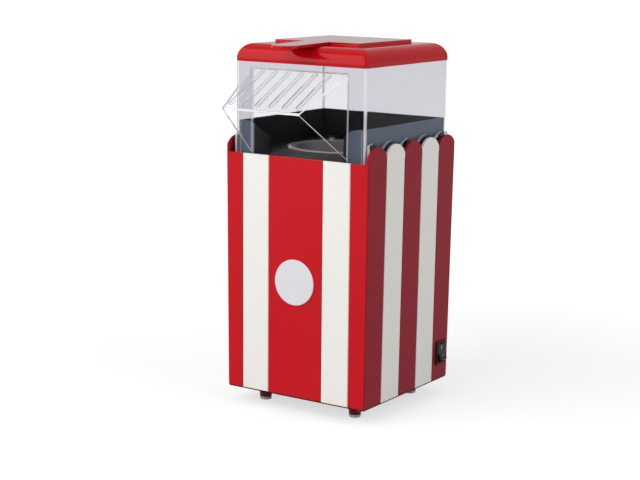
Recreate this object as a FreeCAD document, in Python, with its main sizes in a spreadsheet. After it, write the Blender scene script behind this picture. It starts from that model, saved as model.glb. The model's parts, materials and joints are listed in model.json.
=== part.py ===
import FreeCAD, Part

import os
from math import cos, radians, sin, tan
from types import SimpleNamespace

import Sketcher
from FreeCAD import Placement, Rotation, Vector

# Hot-air popcorn maker.  Frame: origin on the floor under the popping chamber's axis,
# +Z up, front (the chute) towards -Y, the power switch on the +X side.  Millimetres.

DOC = FreeCAD.newDocument("popcorn_maker")
SHEET = DOC.addObject("Spreadsheet::Sheet", "dims")

SIZES = {
    # feet and base
    "foot_rise": 15,          # floor to the housing's lower edge
    "foot_x": 46.5,
    "foot_y": 46,
    "foot_top": 6.3,          # cone radii
    "foot_tip": 5.1,
    "pad_thick": 2.6,
    "base_lip": 1.2,          # part of the base plate seen under the housing
    "base_inset": 0.5,
    "base_plug": 2.5,
    "post_radius": 4,
    "grille_radius": 26,      # air inlet under the fan
    "grille_pitch": 6,
    "grille_slot": 3,
    "board_in": 18,           # rectifier board in from the housing's face
    "board_long": 34,
    "board_w": 22,
    "board_thick": 1.6,
    "board_stand": 6,
    "diode_radius": 2.4,
    "diode_long": 8,
    # housing
    "house_w": 143,
    "house_d": 143,
    "house_rise": 205,
    "house_wall": 2,
    "house_corner": 1.5,
    "draft": 1.5,             # each side, top to bottom
    "stripe_middle": 54.6,    # widths of the painted stripes on the front and back
    "stripe_cream": 26.6,
    "lobe_radius": 16,
    "lobe_rise": 13.5,        # lobe tops above the front rim
    "groove_width": 0.8,
    "groove_depth": 0.5,
    "boss_radius": 4.5,
    "boss_rise": 10,
    "boss_in": 8,             # boss axis in from the housing's wall
    "ledge_side": 16,
    "ledge_thick": 5,
    "vent_count": 7,
    "vent_length": 40,
    "vent_height": 3,
    "vent_pitch": 7,
    "vent_first": 42,
    # badge on the front
    "badge_radius": 19.6,
    "badge_thick": 1.2,
    "badge_level": 114.6,
    # rocker switch
    "switch_y": 56,
    "switch_level": 38.8,
    "bezel_w": 15,
    "bezel_rise": 21,
    "bezel_thick": 1.8,
    "switch_w": 13,
    "switch_rise": 19,
    "switch_depth": 15,
    "rocker_w": 10.4,
    "rocker_radius": 8.4,
    "rocker_swing": 12,       # degrees each way
    "rocker_face": 3.2,       # front of the rocker ahead of its pivot, and its back behind it
    "rocker_back": 4,
    "pivot_depth": 3,
    "pin_radius": 1.2,
    "blade_w": 6.3,
    "blade_thick": 0.8,
    "blade_long": 8,
    # cord gland on the back
    "gland_x": 35,
    "gland_level": 34,
    "gland_bore": 3.6,
    "gland_radius": 5.5,
    "gland_flange": 8,
    "gland_tail": 8,
    "gland_nose": 5,
    # motor, fan and heater
    "shaft_radius": 1.5,
    "motor_radius": 16,
    "motor_long": 34,
    "motor_floor": 28,
    "bush_radius": 4,
    "bush_long": 4,
    "armature_radius": 10,
    "magnet_in": 11,
    "magnet_short": 6,        # magnets short of the can at each end
    "magnet_split": 8,
    "motor_tap": 10,          # motor screws each side of the shaft
    "arm_w": 7,
    "fan_level": 64,
    "fan_radius": 48,
    "fan_wall": 2,
    "fan_rise": 36,
    "fan_inlet": 30,
    "ear_radius": 5.5,
    "ear_w": 9,
    "ear_thick": 3,
    "ear_root": 14,
    "impeller_radius": 42,
    "impeller_level": 72,
    "blade_rise": 16,
    "hub_radius": 6,
    "vane_count": 12,
    "vane_thick": 1.5,
    "heater_rise": 50,
    "heater_radius": 47,
    "heater_wall": 1,
    "heater_flange": 52,
    "mica_thick": 1,
    "mica_reach": 28,
    "mica_rise": 24,
    "coil_wire": 0.6,
    "coil_pitch": 4.5,
    "coil_turns": 4,
    "port_radius": 7,         # air ports through the mica plate
    "centre_port": 9,
    "stat_radius": 8,         # thermostat disc and its cap
    "stat_thick": 5,
    "stat_cap": 4,
    "link_radius": 2,         # thermal fuse
    "link_long": 14,
    # popping chamber
    "chamber_radius": 42,
    "chamber_wall": 1,
    "chamber_floor": 132,
    "chamber_flange": 49,
    "chamber_turn": 6,        # round between floor and wall
    "vent_slot": 2.5,
    "vent_slot_rise": 8,
    "vent_slots": 18,
    "seal_thick": 3,
    # chute tray inside the hood
    "tray_drop": 10,          # flange underside below the housing's rim
    "tray_flange": 2.5,
    "tray_floor_up": 3,       # floor above the rim
    "tray_floor_thick": 3,
    "tray_wall_up": 27,       # wall above the rim
    "tray_wall": 2,
    "tray_gap": 0.5,
    "ramp_start": 51,
    "guide_radius": 12,       # curved guides beside the chute
    "guide_round": 20,        # round of the guides' tops
    "guide_fall": 9,          # where that round begins, outside the chute
    "chute_half": 49,
    # clear hood
    "hood_w": 130.6,
    "hood_d": 134.4,
    "hood_wall": 2,
    "hood_corner": 3,
    "hood_top": 77,           # cap's lower edge above the rim
    "pad_proud": 2.3,
    "pad_over": 2.5,
    "tongue_rise": 3,
    "awning_out": 54.6,
    "awning_lip_half": 37.9,
    "awning_lip_up": 43.5,
    "awning_root_up": 72.7,
    "awning_wall": 2,
    "rib_count": 6,
    "rib_pitch": 13.2,
    "rib_width": 4.4,
    "rib_proud": 0.8,
    # cap and measuring cup
    "cap_rise": 15,
    "cap_wall": 2.5,
    "cap_round": 11.9,
    "fill_half": 35,
    "plate_half": 42.5,
    "plate_thick": 3,
    "cup_wall": 1.5,
    "cup_depth": 16,
    "cup_gap": 0.6,
    "tab_half": 12.5,
    "tab_out": 55.8,
    "tab_thick": 2.4,
    "tab_fall": 1.3,
    # fasteners and fits
    "screw_radius": 1.5,
    "screw_head": 2.8,
    "screw_head_thick": 2,
    "run_gap": 0.05,
    "seat_gap": 0.3,
}


class Size:
    """A length that knows its value and the sheet expression that gives it."""

    def __init__(self, value, text):
        self.value = float(value)
        self.text = text

    def __add__(self, other):
        return Size(self.value + number(other), f"({self.text} + {words(other)})")

    def __sub__(self, other):
        return Size(self.value - number(other), f"({self.text} - {words(other)})")

    def __mul__(self, other):
        return Size(self.value * number(other), f"({self.text} * {words(other)})")

    def __truediv__(self, other):
        return Size(self.value / number(other), f"({self.text} / {words(other)})")

    def __neg__(self):
        return Size(-self.value, f"(0 - {self.text})")

    __radd__ = __add__
    __rmul__ = __mul__

    def __rsub__(self, other):
        return Size(number(other) - self.value, f"({words(other)} - {self.text})")


def number(size):
    return size.value if isinstance(size, Size) else float(size)


def words(size):
    return size.text if isinstance(size, Size) else f"({float(size):.9f})"


def chord(radius, offset):
    """Half the length of a circle's chord at a distance from its centre."""
    half = (number(radius) ** 2 - number(offset) ** 2) ** 0.5
    return Size(half, f"sqrt({words(radius)} ^ 2 - {words(offset)} ^ 2)")


def around(radius, angle):
    return radius * cos(radians(angle)), radius * sin(radians(angle))


def fill_sheet(sizes):
    """Write the driving sizes to the sheet and give each back as a Size."""
    for row, (alias, value) in enumerate(sizes.items(), 1):
        SHEET.set(f"A{row}", alias)
        SHEET.set(f"B{row}", str(value))
        SHEET.setAlias(f"B{row}", alias)
    DOC.recompute()
    return SimpleNamespace(**{alias: Size(value, f"dims.{alias}") for alias, value in sizes.items()})


S = fill_sheet(SIZES)
PIECES = []

# Levels and half widths that several pieces share.
RIM = S.foot_rise + S.house_rise
HALF_W = S.house_w / 2
HALF_D = S.house_d / 2
LOBES = 5
LOBE_STEP = S.house_d / LOBES
LOBE_CENTRE = RIM + S.lobe_rise - S.lobe_radius
CAP_LEVEL = RIM + S.hood_top
CAP_TOP = CAP_LEVEL + S.cap_rise
TRAY_LEVEL = RIM - S.tray_drop
TRAY_FLOOR = RIM + S.tray_floor_up
TRAY_HALF_W = S.hood_w / 2 - S.hood_wall - S.tray_gap
TRAY_HALF_D = S.hood_d / 2 - S.hood_wall - S.tray_gap
FLANGE_GAP = 0.6
OVERLAP = 1                   # how far joined or cut forms run into each other
SCREW_PLAY = 0.3              # clearance holes over the screws' radius
BASE_TOP = S.foot_rise + S.base_plug
FAN_TOP = S.fan_level + S.fan_rise
HEATER_TOP = FAN_TOP + S.heater_rise
MOTOR_TOP = S.motor_floor + S.motor_long
CORNERS = [(1, -1), (1, 1), (-1, 1), (-1, -1)]
QUARTERS = (0, 90, 180, 270)
DIAGONALS = (45, 135, 225, 315)


def face_in(level):
    """How far the housing's tapered faces stand in from their top edge at a level."""
    return S.draft * (1 - (level - S.foot_rise) / S.house_rise)


# ---------------------------------------------------------------- helpers


def drive(thing, **fields):
    for field, size in fields.items():
        thing.setExpression(field, words(size))
    return thing


def place(thing, x=0, y=0, z=0, turn=None):
    """Put a piece at a bound place, with a fixed turn."""
    thing.Placement = Placement(Vector(number(x), number(y), number(z)), turn or Rotation())
    for axis, size in (("x", x), ("y", y), ("z", z)):
        thing.setExpression(f"Placement.Base.{axis}", words(size))
    return thing


def box(long, wide, high, x=0, y=0, z=0):
    """A block centred on x and y, with its underside at z."""
    block = drive(DOC.addObject("Part::Box", "block"), Length=long, Width=wide, Height=high)
    return place(block, x - long / 2, y - wide / 2, z)


def spoke(inner, outer, thick, low, high, angle, swing=0.0):
    """A block that runs outwards from the axis between two radii, at an angle in degrees."""
    c, s = cos(radians(angle)), sin(radians(angle))
    block = drive(DOC.addObject("Part::Box", "spoke"), Length=outer - inner, Width=thick, Height=high)
    turn = Rotation(Vector(0, 0, 1), angle + swing)
    return place(block, inner * c + thick * (s / 2), inner * s - thick * (c / 2), low, turn)


TURNS = {
    "z": Rotation(),
    "x": Rotation(Vector(0, 1, 0), 90),
    "y": Rotation(Vector(1, 0, 0), -90),
}


def rod(radius, length, x=0, y=0, z=0, axis="z"):
    """A cylinder that runs from (x, y, z) along the positive axis."""
    return place(drive(DOC.addObject("Part::Cylinder", "rod"), Radius=radius, Height=length), x, y, z, TURNS[axis])


def cone(low_radius, high_radius, length, x, y, z):
    piece = DOC.addObject("Part::Cone", "cone")
    return place(drive(piece, Radius1=low_radius, Radius2=high_radius, Height=length), x, y, z)


def tapered(low, high, bottom, top, turn=None, base=(0, 0, 0)):
    """A block between a bottom and a top rectangle, each (x0, x1, y0, y1)."""
    wedge = DOC.addObject("Part::Wedge", "wedge")
    drive(wedge, Ymin=low, Ymax=high, Xmin=bottom[0], Xmax=bottom[1], Zmin=-bottom[3], Zmax=-bottom[2])
    drive(wedge, X2min=top[0], X2max=top[1], Z2min=-top[3], Z2max=-top[2])
    upright = Rotation(Vector(1, 0, 0), 90)
    return place(wedge, *base, (turn or Rotation()).multiply(upright))


def fuse(*pieces):
    union = DOC.addObject("Part::MultiFuse", "union")
    union.Shapes = list(pieces)
    return union


def cut(piece, *tools):
    result = DOC.addObject("Part::Cut", "cut")
    result.Base = piece
    result.Tool = tools[0] if len(tools) == 1 else fuse(*tools)
    return result


def common(first, second):
    result = DOC.addObject("Part::Common", "common")
    result.Base = first
    result.Tool = second
    return result


def group(pieces):
    """Several separate solids that make one node."""
    bundle = DOC.addObject("Part::Compound", "group")
    bundle.Links = list(pieces)
    return bundle


def rounded(piece, radius, chosen):
    """Round the edges whose middle point passes the test."""
    DOC.recompute()
    result = DOC.addObject("Part::Fillet", "round")
    result.Base = piece
    picks = []
    for index, edge in enumerate(piece.Shape.Edges, 1):
        middle = edge.valueAt((edge.FirstParameter + edge.LastParameter) / 2)
        if chosen(middle, edge):
            picks.append((index, number(radius), number(radius)))
    result.Edges = picks
    return result


def is_upright(middle, edge):
    ends = [vertex.Point for vertex in edge.Vertexes]
    return len(ends) == 2 and abs(ends[0].z - ends[1].z) > 5


def origin_part(body, role):
    return next(part for part in body.Origin.OriginFeatures if part.Role == role)


def outline_sketch(body, plane, points):
    """A closed outline of straight lines whose corners are bound to the sheet."""
    sketch = body.newObject("Sketcher::SketchObject", "outline")
    sketch.AttachmentSupport = [(origin_part(body, plane), "")]
    sketch.MapMode = "FlatFace"
    corners = [Vector(number(across), number(up), 0) for across, up in points]
    for start, end in zip(corners, corners[1:] + corners[:1]):
        sketch.addGeometry(Part.LineSegment(start, end))
    count = len(corners)
    for index in range(count):
        sketch.addConstraint(Sketcher.Constraint("Coincident", index, 2, (index + 1) % count, 1))
    for index, (across, up) in enumerate(points):
        for kind, size in (("DistanceX", across), ("DistanceY", up)):
            at = sketch.addConstraint(Sketcher.Constraint(kind, -1, 1, index, 1, number(size)))
            sketch.setExpression(f"Constraints[{at}]", words(size))
    return sketch


def turned(points, x=0, y=0, z=0, axis="z"):
    """A solid of revolution; each point is (radius, distance along the axis)."""
    body = DOC.addObject("PartDesign::Body", "turned")
    sketch = outline_sketch(body, "XZ_Plane", points)
    revolution = body.newObject("PartDesign::Revolution", "revolution")
    revolution.Profile = sketch
    revolution.ReferenceAxis = (origin_part(body, "Z_Axis"), [""])
    revolution.Angle = 360
    body.Tip = revolution
    return place(body, x, y, z, TURNS[axis])


def prism(points, length, x=0, y=0, z=0, turn=None):
    """A side outline, each point (y, z), padded both ways along X."""
    body = DOC.addObject("PartDesign::Body", "prism")
    sketch = outline_sketch(body, "YZ_Plane", points)
    pad = body.newObject("PartDesign::Pad", "pad")
    pad.Profile = sketch
    pad.Midplane = True
    drive(pad, Length=length)
    body.Tip = pad
    return place(body, x, y, z, turn)


def ring(inner, outer, low, high):
    """Points of a plain turned ring."""
    return [(inner, low), (outer, low), (outer, high), (inner, high)]


def screw(x, y, seat, reach, up=True):
    """A pan-head screw whose head bears on the seat and whose shank reaches into the work."""
    way = 1 if up else -1
    head = S.screw_head_thick
    outline = [(0, -head * way), (S.screw_head, -head * way), (S.screw_head, 0), (S.screw_radius, 0),
               (S.screw_radius, reach * way), (0, reach * way)]
    body = turned(outline, x, y, seat)
    slot_low = seat - head if up else seat + head / 2
    driver = box(S.screw_head * 1.2, S.screw_radius / 2, head / 2, x, y, slot_low)
    return cut(body, driver)


def named(label, piece):
    """Register a finished sub-part under its node name."""
    piece.Label = label
    PIECES.append(piece)
    return piece


# ---------------------------------------------------------------- housing and base


def housing_block(inset, low, high):
    """The tapered outer form of the housing, or its hollow when inset by the wall."""
    half_w, half_d = HALF_W - inset, HALF_D - inset
    low_in, high_in = face_in(low), face_in(high)
    bottom = (-(half_w - low_in), half_w - low_in, -(half_d - low_in), half_d - low_in)
    top = (-(half_w - high_in), half_w - high_in, -(half_d - high_in), half_d - high_in)
    return tapered(low, high, bottom, top)


def scallops(outer, inner, radius, corner_test):
    """A row of round-topped lobes along both sides, between two half widths, above the rim."""
    high = radius * 2
    block = rounded(box(outer * 2, S.house_d, high, 0, 0, RIM), S.house_corner, corner_test)
    lobes = [rod(radius, outer * 2, -outer, LOBE_STEP * (index - 2), LOBE_CENTRE, "x") for index in range(LOBES)]
    row = common(block, fuse(*lobes))
    return cut(row, box(inner * 2, S.house_d + 20, high + 2, 0, 0, RIM - 1))


def stripe_grooves():
    """Fine grooves where two stripes meet, sunk in the tapered faces."""
    low, high = S.foot_rise - 1, RIM + 1
    grooves = []
    half = S.groove_width / 2
    for side in (-1, 1):
        middle = S.stripe_middle / 2
        for x in (-(middle + S.stripe_cream), -middle, middle, middle + S.stripe_cream):
            ends = []
            for level in (low, high):
                face = HALF_D - face_in(level)
                near, far = face - S.groove_depth, face + 1
                ends.append((x - half, x + half, near if side > 0 else -far, far if side > 0 else -near))
            grooves.append(tapered(low, high, *ends))
        for step in (-1.5, -0.5, 0.5, 1.5):
            y = LOBE_STEP * step
            ends = []
            for level in (low, high):
                face = HALF_W - face_in(level)
                near, far = face - S.groove_depth, face + 1
                ends.append((near if side > 0 else -far, far if side > 0 else -near, y - half, y + half))
            grooves.append(tapered(low, high, *ends))
    return grooves


def boss_place(corner):
    reach_x = HALF_W - S.house_wall - S.boss_in
    reach_y = HALF_D - S.house_wall - S.boss_in
    return reach_x * corner[0], reach_y * corner[1]


def make_housing():
    outer = rounded(housing_block(0, S.foot_rise, RIM), S.house_corner, is_upright)
    shell = cut(outer, housing_block(S.house_wall, S.foot_rise - 1, RIM + 1))
    lobes = scallops(HALF_W, HALF_W - S.house_wall, S.lobe_radius, is_upright)
    web = S.boss_in - S.draft + OVERLAP
    inside = []
    holes = []
    for corner in CORNERS:
        x, y = boss_place(corner)
        inside.append(rod(S.boss_radius, S.boss_rise, x, y, BASE_TOP))
        inside.append(box(web, S.boss_radius, S.boss_rise, x + web * (corner[0] / 2), y, BASE_TOP))
        holes.append(rod(S.screw_radius, S.boss_rise - 2, x, y, BASE_TOP))
        ledge_x = (HALF_W - S.house_wall - S.ledge_side / 2 + 0.5) * corner[0]
        ledge_y = (HALF_D - S.house_wall - S.ledge_side / 2 + 0.5) * corner[1]
        inside.append(box(S.ledge_side, S.ledge_side, S.ledge_thick, ledge_x, ledge_y,
                          TRAY_LEVEL - S.ledge_thick))
        x, y = tray_screw_place(corner)
        holes.append(rod(S.screw_radius + SCREW_PLAY, S.ledge_thick + 2, x, y, TRAY_LEVEL - S.ledge_thick - 1))
    vents = [box(S.vent_length, 12, S.vent_height, 0, HALF_D, S.vent_first + S.vent_pitch * index)
             for index in range(int(S.vent_count.value))]
    switch_hole = box(12, S.switch_w + 0.4, S.switch_rise + 0.4, HALF_W, S.switch_y,
                      S.switch_level - S.switch_rise / 2 - 0.2)
    gland_hole = rod(S.gland_radius + 0.2, 12, S.gland_x, HALF_D - 6, S.gland_level, "y")
    named("housing_shell", cut(fuse(shell, lobes, *inside), *holes, *vents, switch_hole, gland_hole,
                               *stripe_grooves()))


def make_base():
    lip_w = (HALF_W - S.draft - S.base_inset) * 2
    lip_d = (HALF_D - S.draft - S.base_inset) * 2
    plug_w = lip_w - S.house_wall * 2
    plug_d = lip_d - S.house_wall * 2
    lip_low = S.foot_rise - S.base_lip
    lip = rounded(box(lip_w, lip_d, S.base_lip, 0, 0, lip_low), S.house_corner - S.base_inset, is_short_upright)
    plate = fuse(lip, box(plug_w, plug_d, S.base_plug + 1, 0, 0, S.foot_rise - 1))
    posts = [rod(S.post_radius, S.fan_level - BASE_TOP + 1, S.foot_x * c[0], S.foot_y * c[1], BASE_TOP - 1)
             for c in CORNERS]
    posts += [rod(S.board_w / 9, S.board_stand + OVERLAP, board_x(), S.board_long * share, BASE_TOP - OVERLAP)
              for share in (-0.3, 0.3)]
    holes = []
    for corner in CORNERS:
        x, y = boss_place(corner)
        holes.append(rod(S.screw_radius + SCREW_PLAY, 20, x, y, lip_low - 5))
        holes.append(rod(S.screw_radius, 14, S.foot_x * corner[0], S.foot_y * corner[1], S.fan_level - 13))
    grille = []
    rows = int(S.grille_radius.value // S.grille_pitch.value)
    for row in range(-rows, rows + 1):
        y = S.grille_pitch * row
        grille.append(box(chord(S.grille_radius, y) * 2, S.grille_slot, 20, 0, y, lip_low - 5))
    named("base_cover", cut(fuse(plate, *posts), *holes, *grille))

    cone_rise = lip_low - S.pad_thick
    cones = [cone(S.foot_tip, S.foot_top, cone_rise, S.foot_x * c[0], S.foot_y * c[1], S.pad_thick)
             for c in CORNERS]
    named("feet", group(cones))
    pads = [turned([(0, 0), (S.foot_tip - 0.6, 0), (S.foot_tip, 0.6), (S.foot_tip, S.pad_thick), (0, S.pad_thick)],
                   S.foot_x * c[0], S.foot_y * c[1]) for c in CORNERS]
    named("foot_pads", group(pads))
    screws = [screw(*boss_place(c), lip_low, S.base_lip + S.base_plug + S.boss_rise - 3) for c in CORNERS]
    named("base_screws", group(screws))


def is_short_upright(middle, edge):
    ends = [vertex.Point for vertex in edge.Vertexes]
    return len(ends) == 2 and abs(ends[0].z - ends[1].z) > 0.5


def board_x():
    return -(HALF_W - S.board_in)


def make_badge():
    back = HALF_D - face_in(S.badge_level + S.badge_radius)
    edge = 0.4
    named("badge_disc", turned([(0, 0), (S.badge_radius, 0), (S.badge_radius, S.badge_thick - edge),
                                (S.badge_radius - edge, S.badge_thick), (0, S.badge_thick)],
                               0, -(back + S.badge_thick), S.badge_level, "y"))


# ---------------------------------------------------------------- switch and gland


def make_switch():
    wall_face = HALF_W - face_in(S.switch_level + S.bezel_rise / 2)
    front = wall_face + S.bezel_thick
    level, y = S.switch_level, S.switch_y
    window_half = S.rocker_radius + 0.3
    swing = radians(S.rocker_swing.value)
    cavity = S.pivot_depth + S.rocker_back * cos(swing) + S.rocker_radius * sin(swing) + S.seat_gap

    def at(depth_from, depth_to, wide, high):
        """A block between two depths behind the bezel's front."""
        return box(depth_to - depth_from, wide, high, front - (depth_from + depth_to) / 2, y, level - high / 2)

    bezel = rounded(at(0, S.bezel_thick, S.bezel_w, S.bezel_rise), 1,
                    lambda middle, edge: middle.x > number(front) - 0.01)
    body = at(S.bezel_thick, S.switch_depth, S.switch_w, S.switch_rise)
    hollow = at(-1, cavity, S.rocker_w + 0.5, window_half * 2)
    pivot_long = S.rocker_w + 1.8
    pivot = rod(S.pin_radius + S.run_gap, pivot_long, front - S.pivot_depth, y - pivot_long / 2, level, "y")
    named("switch_housing", cut(fuse(bezel, body), hollow, pivot))

    blades = [box(S.blade_long, S.blade_w, S.blade_thick, front - S.switch_depth - S.blade_long / 2, y, level + lift)
              for lift in (-6, 4)]
    named("switch_terminals", group(blades))

    reach = S.rocker_radius + 1
    rise = S.rocker_face + reach * tan(swing)
    back = -S.rocker_back
    side = prism([(back, -reach), (rise, -reach), (S.rocker_face, 0), (rise, reach), (back, reach)],
                 S.rocker_w, turn=Rotation(Vector(0, 0, 1), -90))
    drum = rod(S.rocker_radius, S.rocker_w + 4, 0, -(S.rocker_w + 4) / 2, 0, "y")
    pins = rod(S.pin_radius, S.rocker_w + 1.4, 0, -(S.rocker_w + 1.4) / 2, 0, "y")
    rocker = fuse(common(side, drum), pins)
    place(rocker, front - S.pivot_depth, y, level, Rotation(Vector(0, 1, 0), -S.rocker_swing.value))
    named("rocker", rocker)


def make_gland():
    face = HALF_D - face_in(S.gland_level + S.gland_flange)
    bush = turned([(S.gland_bore, -S.gland_tail), (S.gland_radius, -S.gland_tail), (S.gland_radius, 0),
                   (S.gland_flange, 0), (S.gland_flange, 1.5), (S.gland_radius, S.gland_nose),
                   (S.gland_bore, S.gland_nose)],
                  S.gland_x, face, S.gland_level, "y")
    named("cord_gland", bush)
    nut_face = HALF_D - S.house_wall - face_in(S.gland_level - S.gland_flange)
    nut = turned(ring(S.gland_radius + 0.1, S.gland_flange, -3, 0), S.gland_x, nut_face, S.gland_level, "y")
    named("gland_nut", nut)


# ---------------------------------------------------------------- motor and fan


def make_motor():
    low, high = S.motor_floor, MOTOR_TOP
    r = S.motor_radius
    cup = [(S.bush_radius, low), (r, low), (r, high), (S.bush_radius, high), (S.bush_radius, high - 1),
           (r - 1, high - 1), (r - 1, low + 1), (S.bush_radius, low + 1)]
    taps = [rod(S.screw_radius, 4, S.motor_tap * side, 0, high - 2) for side in (-1, 1)]
    named("motor_can", cut(turned(cup), *taps))
    bushes = [turned(ring(S.shaft_radius + S.run_gap, S.bush_radius, 0, S.bush_long), 0, 0, base)
              for base in (low - 1, high - S.bush_long + 1)]
    named("motor_bushes", group(bushes))
    short = S.magnet_short
    magnet = turned(ring(S.magnet_in, r - 1.1, low + short, high - short))
    named("motor_magnets", cut(magnet, box(r * 3, S.magnet_split, S.motor_long, 0, 0, low)))
    named("motor_armature", turned(ring(S.shaft_radius, S.armature_radius, low + short + 1, high - short - 1)))
    shaft_low = low - 2
    named("motor_shaft", turned([(0, shaft_low), (S.shaft_radius, shaft_low), (S.shaft_radius, impeller_top() + 2),
                                 (0, impeller_top() + 2)]))
    bracket_low = high
    arms = [spoke(r - 2, S.fan_radius - 4, S.arm_w, bracket_low, S.fan_level - high, angle) for angle in QUARTERS]
    holes = [rod(S.screw_radius + 0.2, 8, S.motor_tap * side, 0, bracket_low - 2) for side in (-1, 1)]
    holes += [rod(S.screw_radius + 0.2, 8, *around(bracket_screw_radius(), angle), bracket_low - 2)
              for angle in QUARTERS]
    disc = turned(ring(S.bush_radius + 0.3, r, bracket_low, S.fan_level))
    named("motor_bracket", cut(fuse(disc, *arms), *holes))
    reach = S.fan_level - high + 2.5
    named("motor_screws", group([screw(S.motor_tap * side, 0, S.fan_level, reach, up=False) for side in (-1, 1)]))
    named("bracket_screws", group([screw(*around(bracket_screw_radius(), angle), high, reach) for angle in QUARTERS]))


def bracket_screw_radius():
    return (S.fan_inlet + S.fan_radius - 4) / 2


def impeller_top():
    return S.impeller_level + S.blade_rise + 2


def make_fan():
    low, high = S.fan_level, FAN_TOP
    wall = S.fan_wall
    drum = turned([(S.fan_inlet, low), (S.fan_radius, low), (S.fan_radius, high), (S.fan_radius - wall, high),
                   (S.fan_radius - wall, low + wall), (S.fan_inlet, low + wall)])
    ears = []
    holes = [rod(S.screw_radius, 8, *around(bracket_screw_radius(), angle), low - 2) for angle in QUARTERS]
    for corner in CORNERS:
        x, y = S.foot_x * corner[0], S.foot_y * corner[1]
        ears.append(rod(S.ear_radius, S.ear_thick, x, y, low))
        middle = (S.foot_x + S.ear_root) * (corner[0] / 2)
        ears.append(box(S.foot_x - S.ear_root, S.ear_w, S.ear_thick, middle, y, low))
        holes.append(rod(S.screw_radius + 0.2, 6, x, y, low - 1))
    hollow = rod(S.fan_radius - wall, S.fan_rise, 0, 0, low + wall)
    named("fan_housing", cut(fuse(drum, cut(fuse(*ears), hollow, rod(S.fan_radius - 1, 10, 0, 0, low - 2))), *holes))
    named("fan_screws", group([screw(S.foot_x * c[0], S.foot_y * c[1], low + S.ear_thick, S.ear_thick + 10, up=False)
                               for c in CORNERS]))

    base = S.impeller_level
    hub = turned([(S.shaft_radius, base - 4), (S.hub_radius, base - 4), (S.hub_radius, base),
                  (S.impeller_radius, base), (S.impeller_radius, base + 1.5), (S.hub_radius, base + 1.5),
                  (S.hub_radius, impeller_top()), (S.shaft_radius, impeller_top())])
    step = 360 / S.vane_count.value
    vanes = [spoke(S.hub_radius + 8, S.impeller_radius - 1.5, S.vane_thick, base + 1, S.blade_rise, step * index, 8)
             for index in range(int(S.vane_count.value))]
    named("impeller", fuse(hub, *vanes))


# ---------------------------------------------------------------- heater and popping chamber


def make_heater():
    low, high, r, wall = FAN_TOP, HEATER_TOP, S.heater_radius, S.heater_wall
    inner = r - wall
    neck = S.chamber_radius + S.seat_gap
    named("heater_can", turned([(inner - 2, low), (S.heater_flange, low), (S.heater_flange, low + 1), (r, low + 1),
                                (r, high), (neck, high), (neck, high - wall), (inner, high - wall),
                                (inner, low + 1), (inner - 2, low + 1)]))
    named("chamber_seal", turned(ring(S.chamber_radius + 0.05, inner, high, high + S.seal_thick)))
    plate = turned([(0, 0), (inner - S.seat_gap, 0), (inner - S.seat_gap, S.mica_thick), (0, S.mica_thick)],
                   0, 0, low + 1)
    ports = [rod(S.port_radius, 6, *around(S.mica_reach + 6, 22.5 + 45 * index), low - 1) for index in range(8)]
    named("heater_plate", cut(plate, *ports, rod(S.centre_port, 6, 0, 0, low - 1)))
    foot = low + 1 + S.mica_thick
    cross = fuse(box(S.mica_reach * 2, S.mica_thick, S.mica_rise, 0, 0, foot),
                 box(S.mica_thick, S.mica_reach * 2, S.mica_rise, 0, 0, foot))
    named("mica_frame", cross)
    make_coil(foot + 3)
    middle = (FAN_TOP + HEATER_TOP) / 2
    disc = turned([(0, 0), (S.stat_radius, 0), (S.stat_radius, S.stat_thick), (S.stat_cap, S.stat_thick),
                   (S.stat_cap, S.stat_thick + 3), (0, S.stat_thick + 3)], r + 0.1, 0, middle - S.stat_radius, "x")
    named("thermostat", disc)
    thin, long = S.link_radius * 0.6, S.link_long
    link = turned([(0, 0), (thin, 1), (S.link_radius, 2), (S.link_radius, long - 2), (thin, long - 1), (0, long)],
                  r + S.link_radius + 0.2, 0, middle + 4)
    named("thermal_fuse", link)


def make_coil(base):
    """The heating wire: turns round the mica cross, each stepped up to the next by a short riser."""
    radius = S.mica_reach + S.coil_wire + S.seat_gap
    turns = []
    count = int(S.coil_turns.value)
    for index in range(count):
        turn = drive(DOC.addObject("Part::Torus", "turn"), Radius1=radius, Radius2=S.coil_wire)
        turns.append(place(turn, 0, 0, base + S.coil_pitch * index))
    for index in range(count - 1):
        x, y = around(radius, 45 + 90 * index)
        turns.append(rod(S.coil_wire * 0.9, S.coil_pitch, x, y, base + S.coil_pitch * index))
    named("heating_coil", fuse(*turns))


def make_chamber():
    low, r, wall = S.chamber_floor, S.chamber_radius, S.chamber_wall
    flange_low = TRAY_FLOOR - wall
    turn = S.chamber_turn
    inner_turn = turn + wall / 2
    cup = turned([(0, low), (r - turn, low), (r, low + turn), (r, flange_low), (S.chamber_flange, flange_low),
                  (S.chamber_flange, TRAY_FLOOR), (r - wall, TRAY_FLOOR), (r - wall, low + inner_turn),
                  (r - inner_turn, low + wall), (0, low + wall)])
    step = 360 / S.vent_slots.value
    slots = [spoke(r - 8, r + 4, S.vent_slot, low + turn + 2, S.vent_slot_rise, step * index, 12)
             for index in range(int(S.vent_slots.value))]
    holes = [rod(S.screw_radius + 0.1, 8, *around(chamber_screw_radius(), angle), flange_low - 3)
             for angle in DIAGONALS]
    named("popping_chamber", cut(cup, *slots, *holes))
    named("chamber_screws", group([screw(*around(chamber_screw_radius(), angle), TRAY_FLOOR, 5, up=False)
                                   for angle in DIAGONALS]))


def chamber_screw_radius():
    return (S.chamber_radius + S.chamber_flange) / 2 + 0.4


# ---------------------------------------------------------------- tray, hood, cap and cup


def tray_screw_place(corner):
    return (TRAY_HALF_W - 6) * corner[0], (TRAY_HALF_D - 6) * corner[1]


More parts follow.
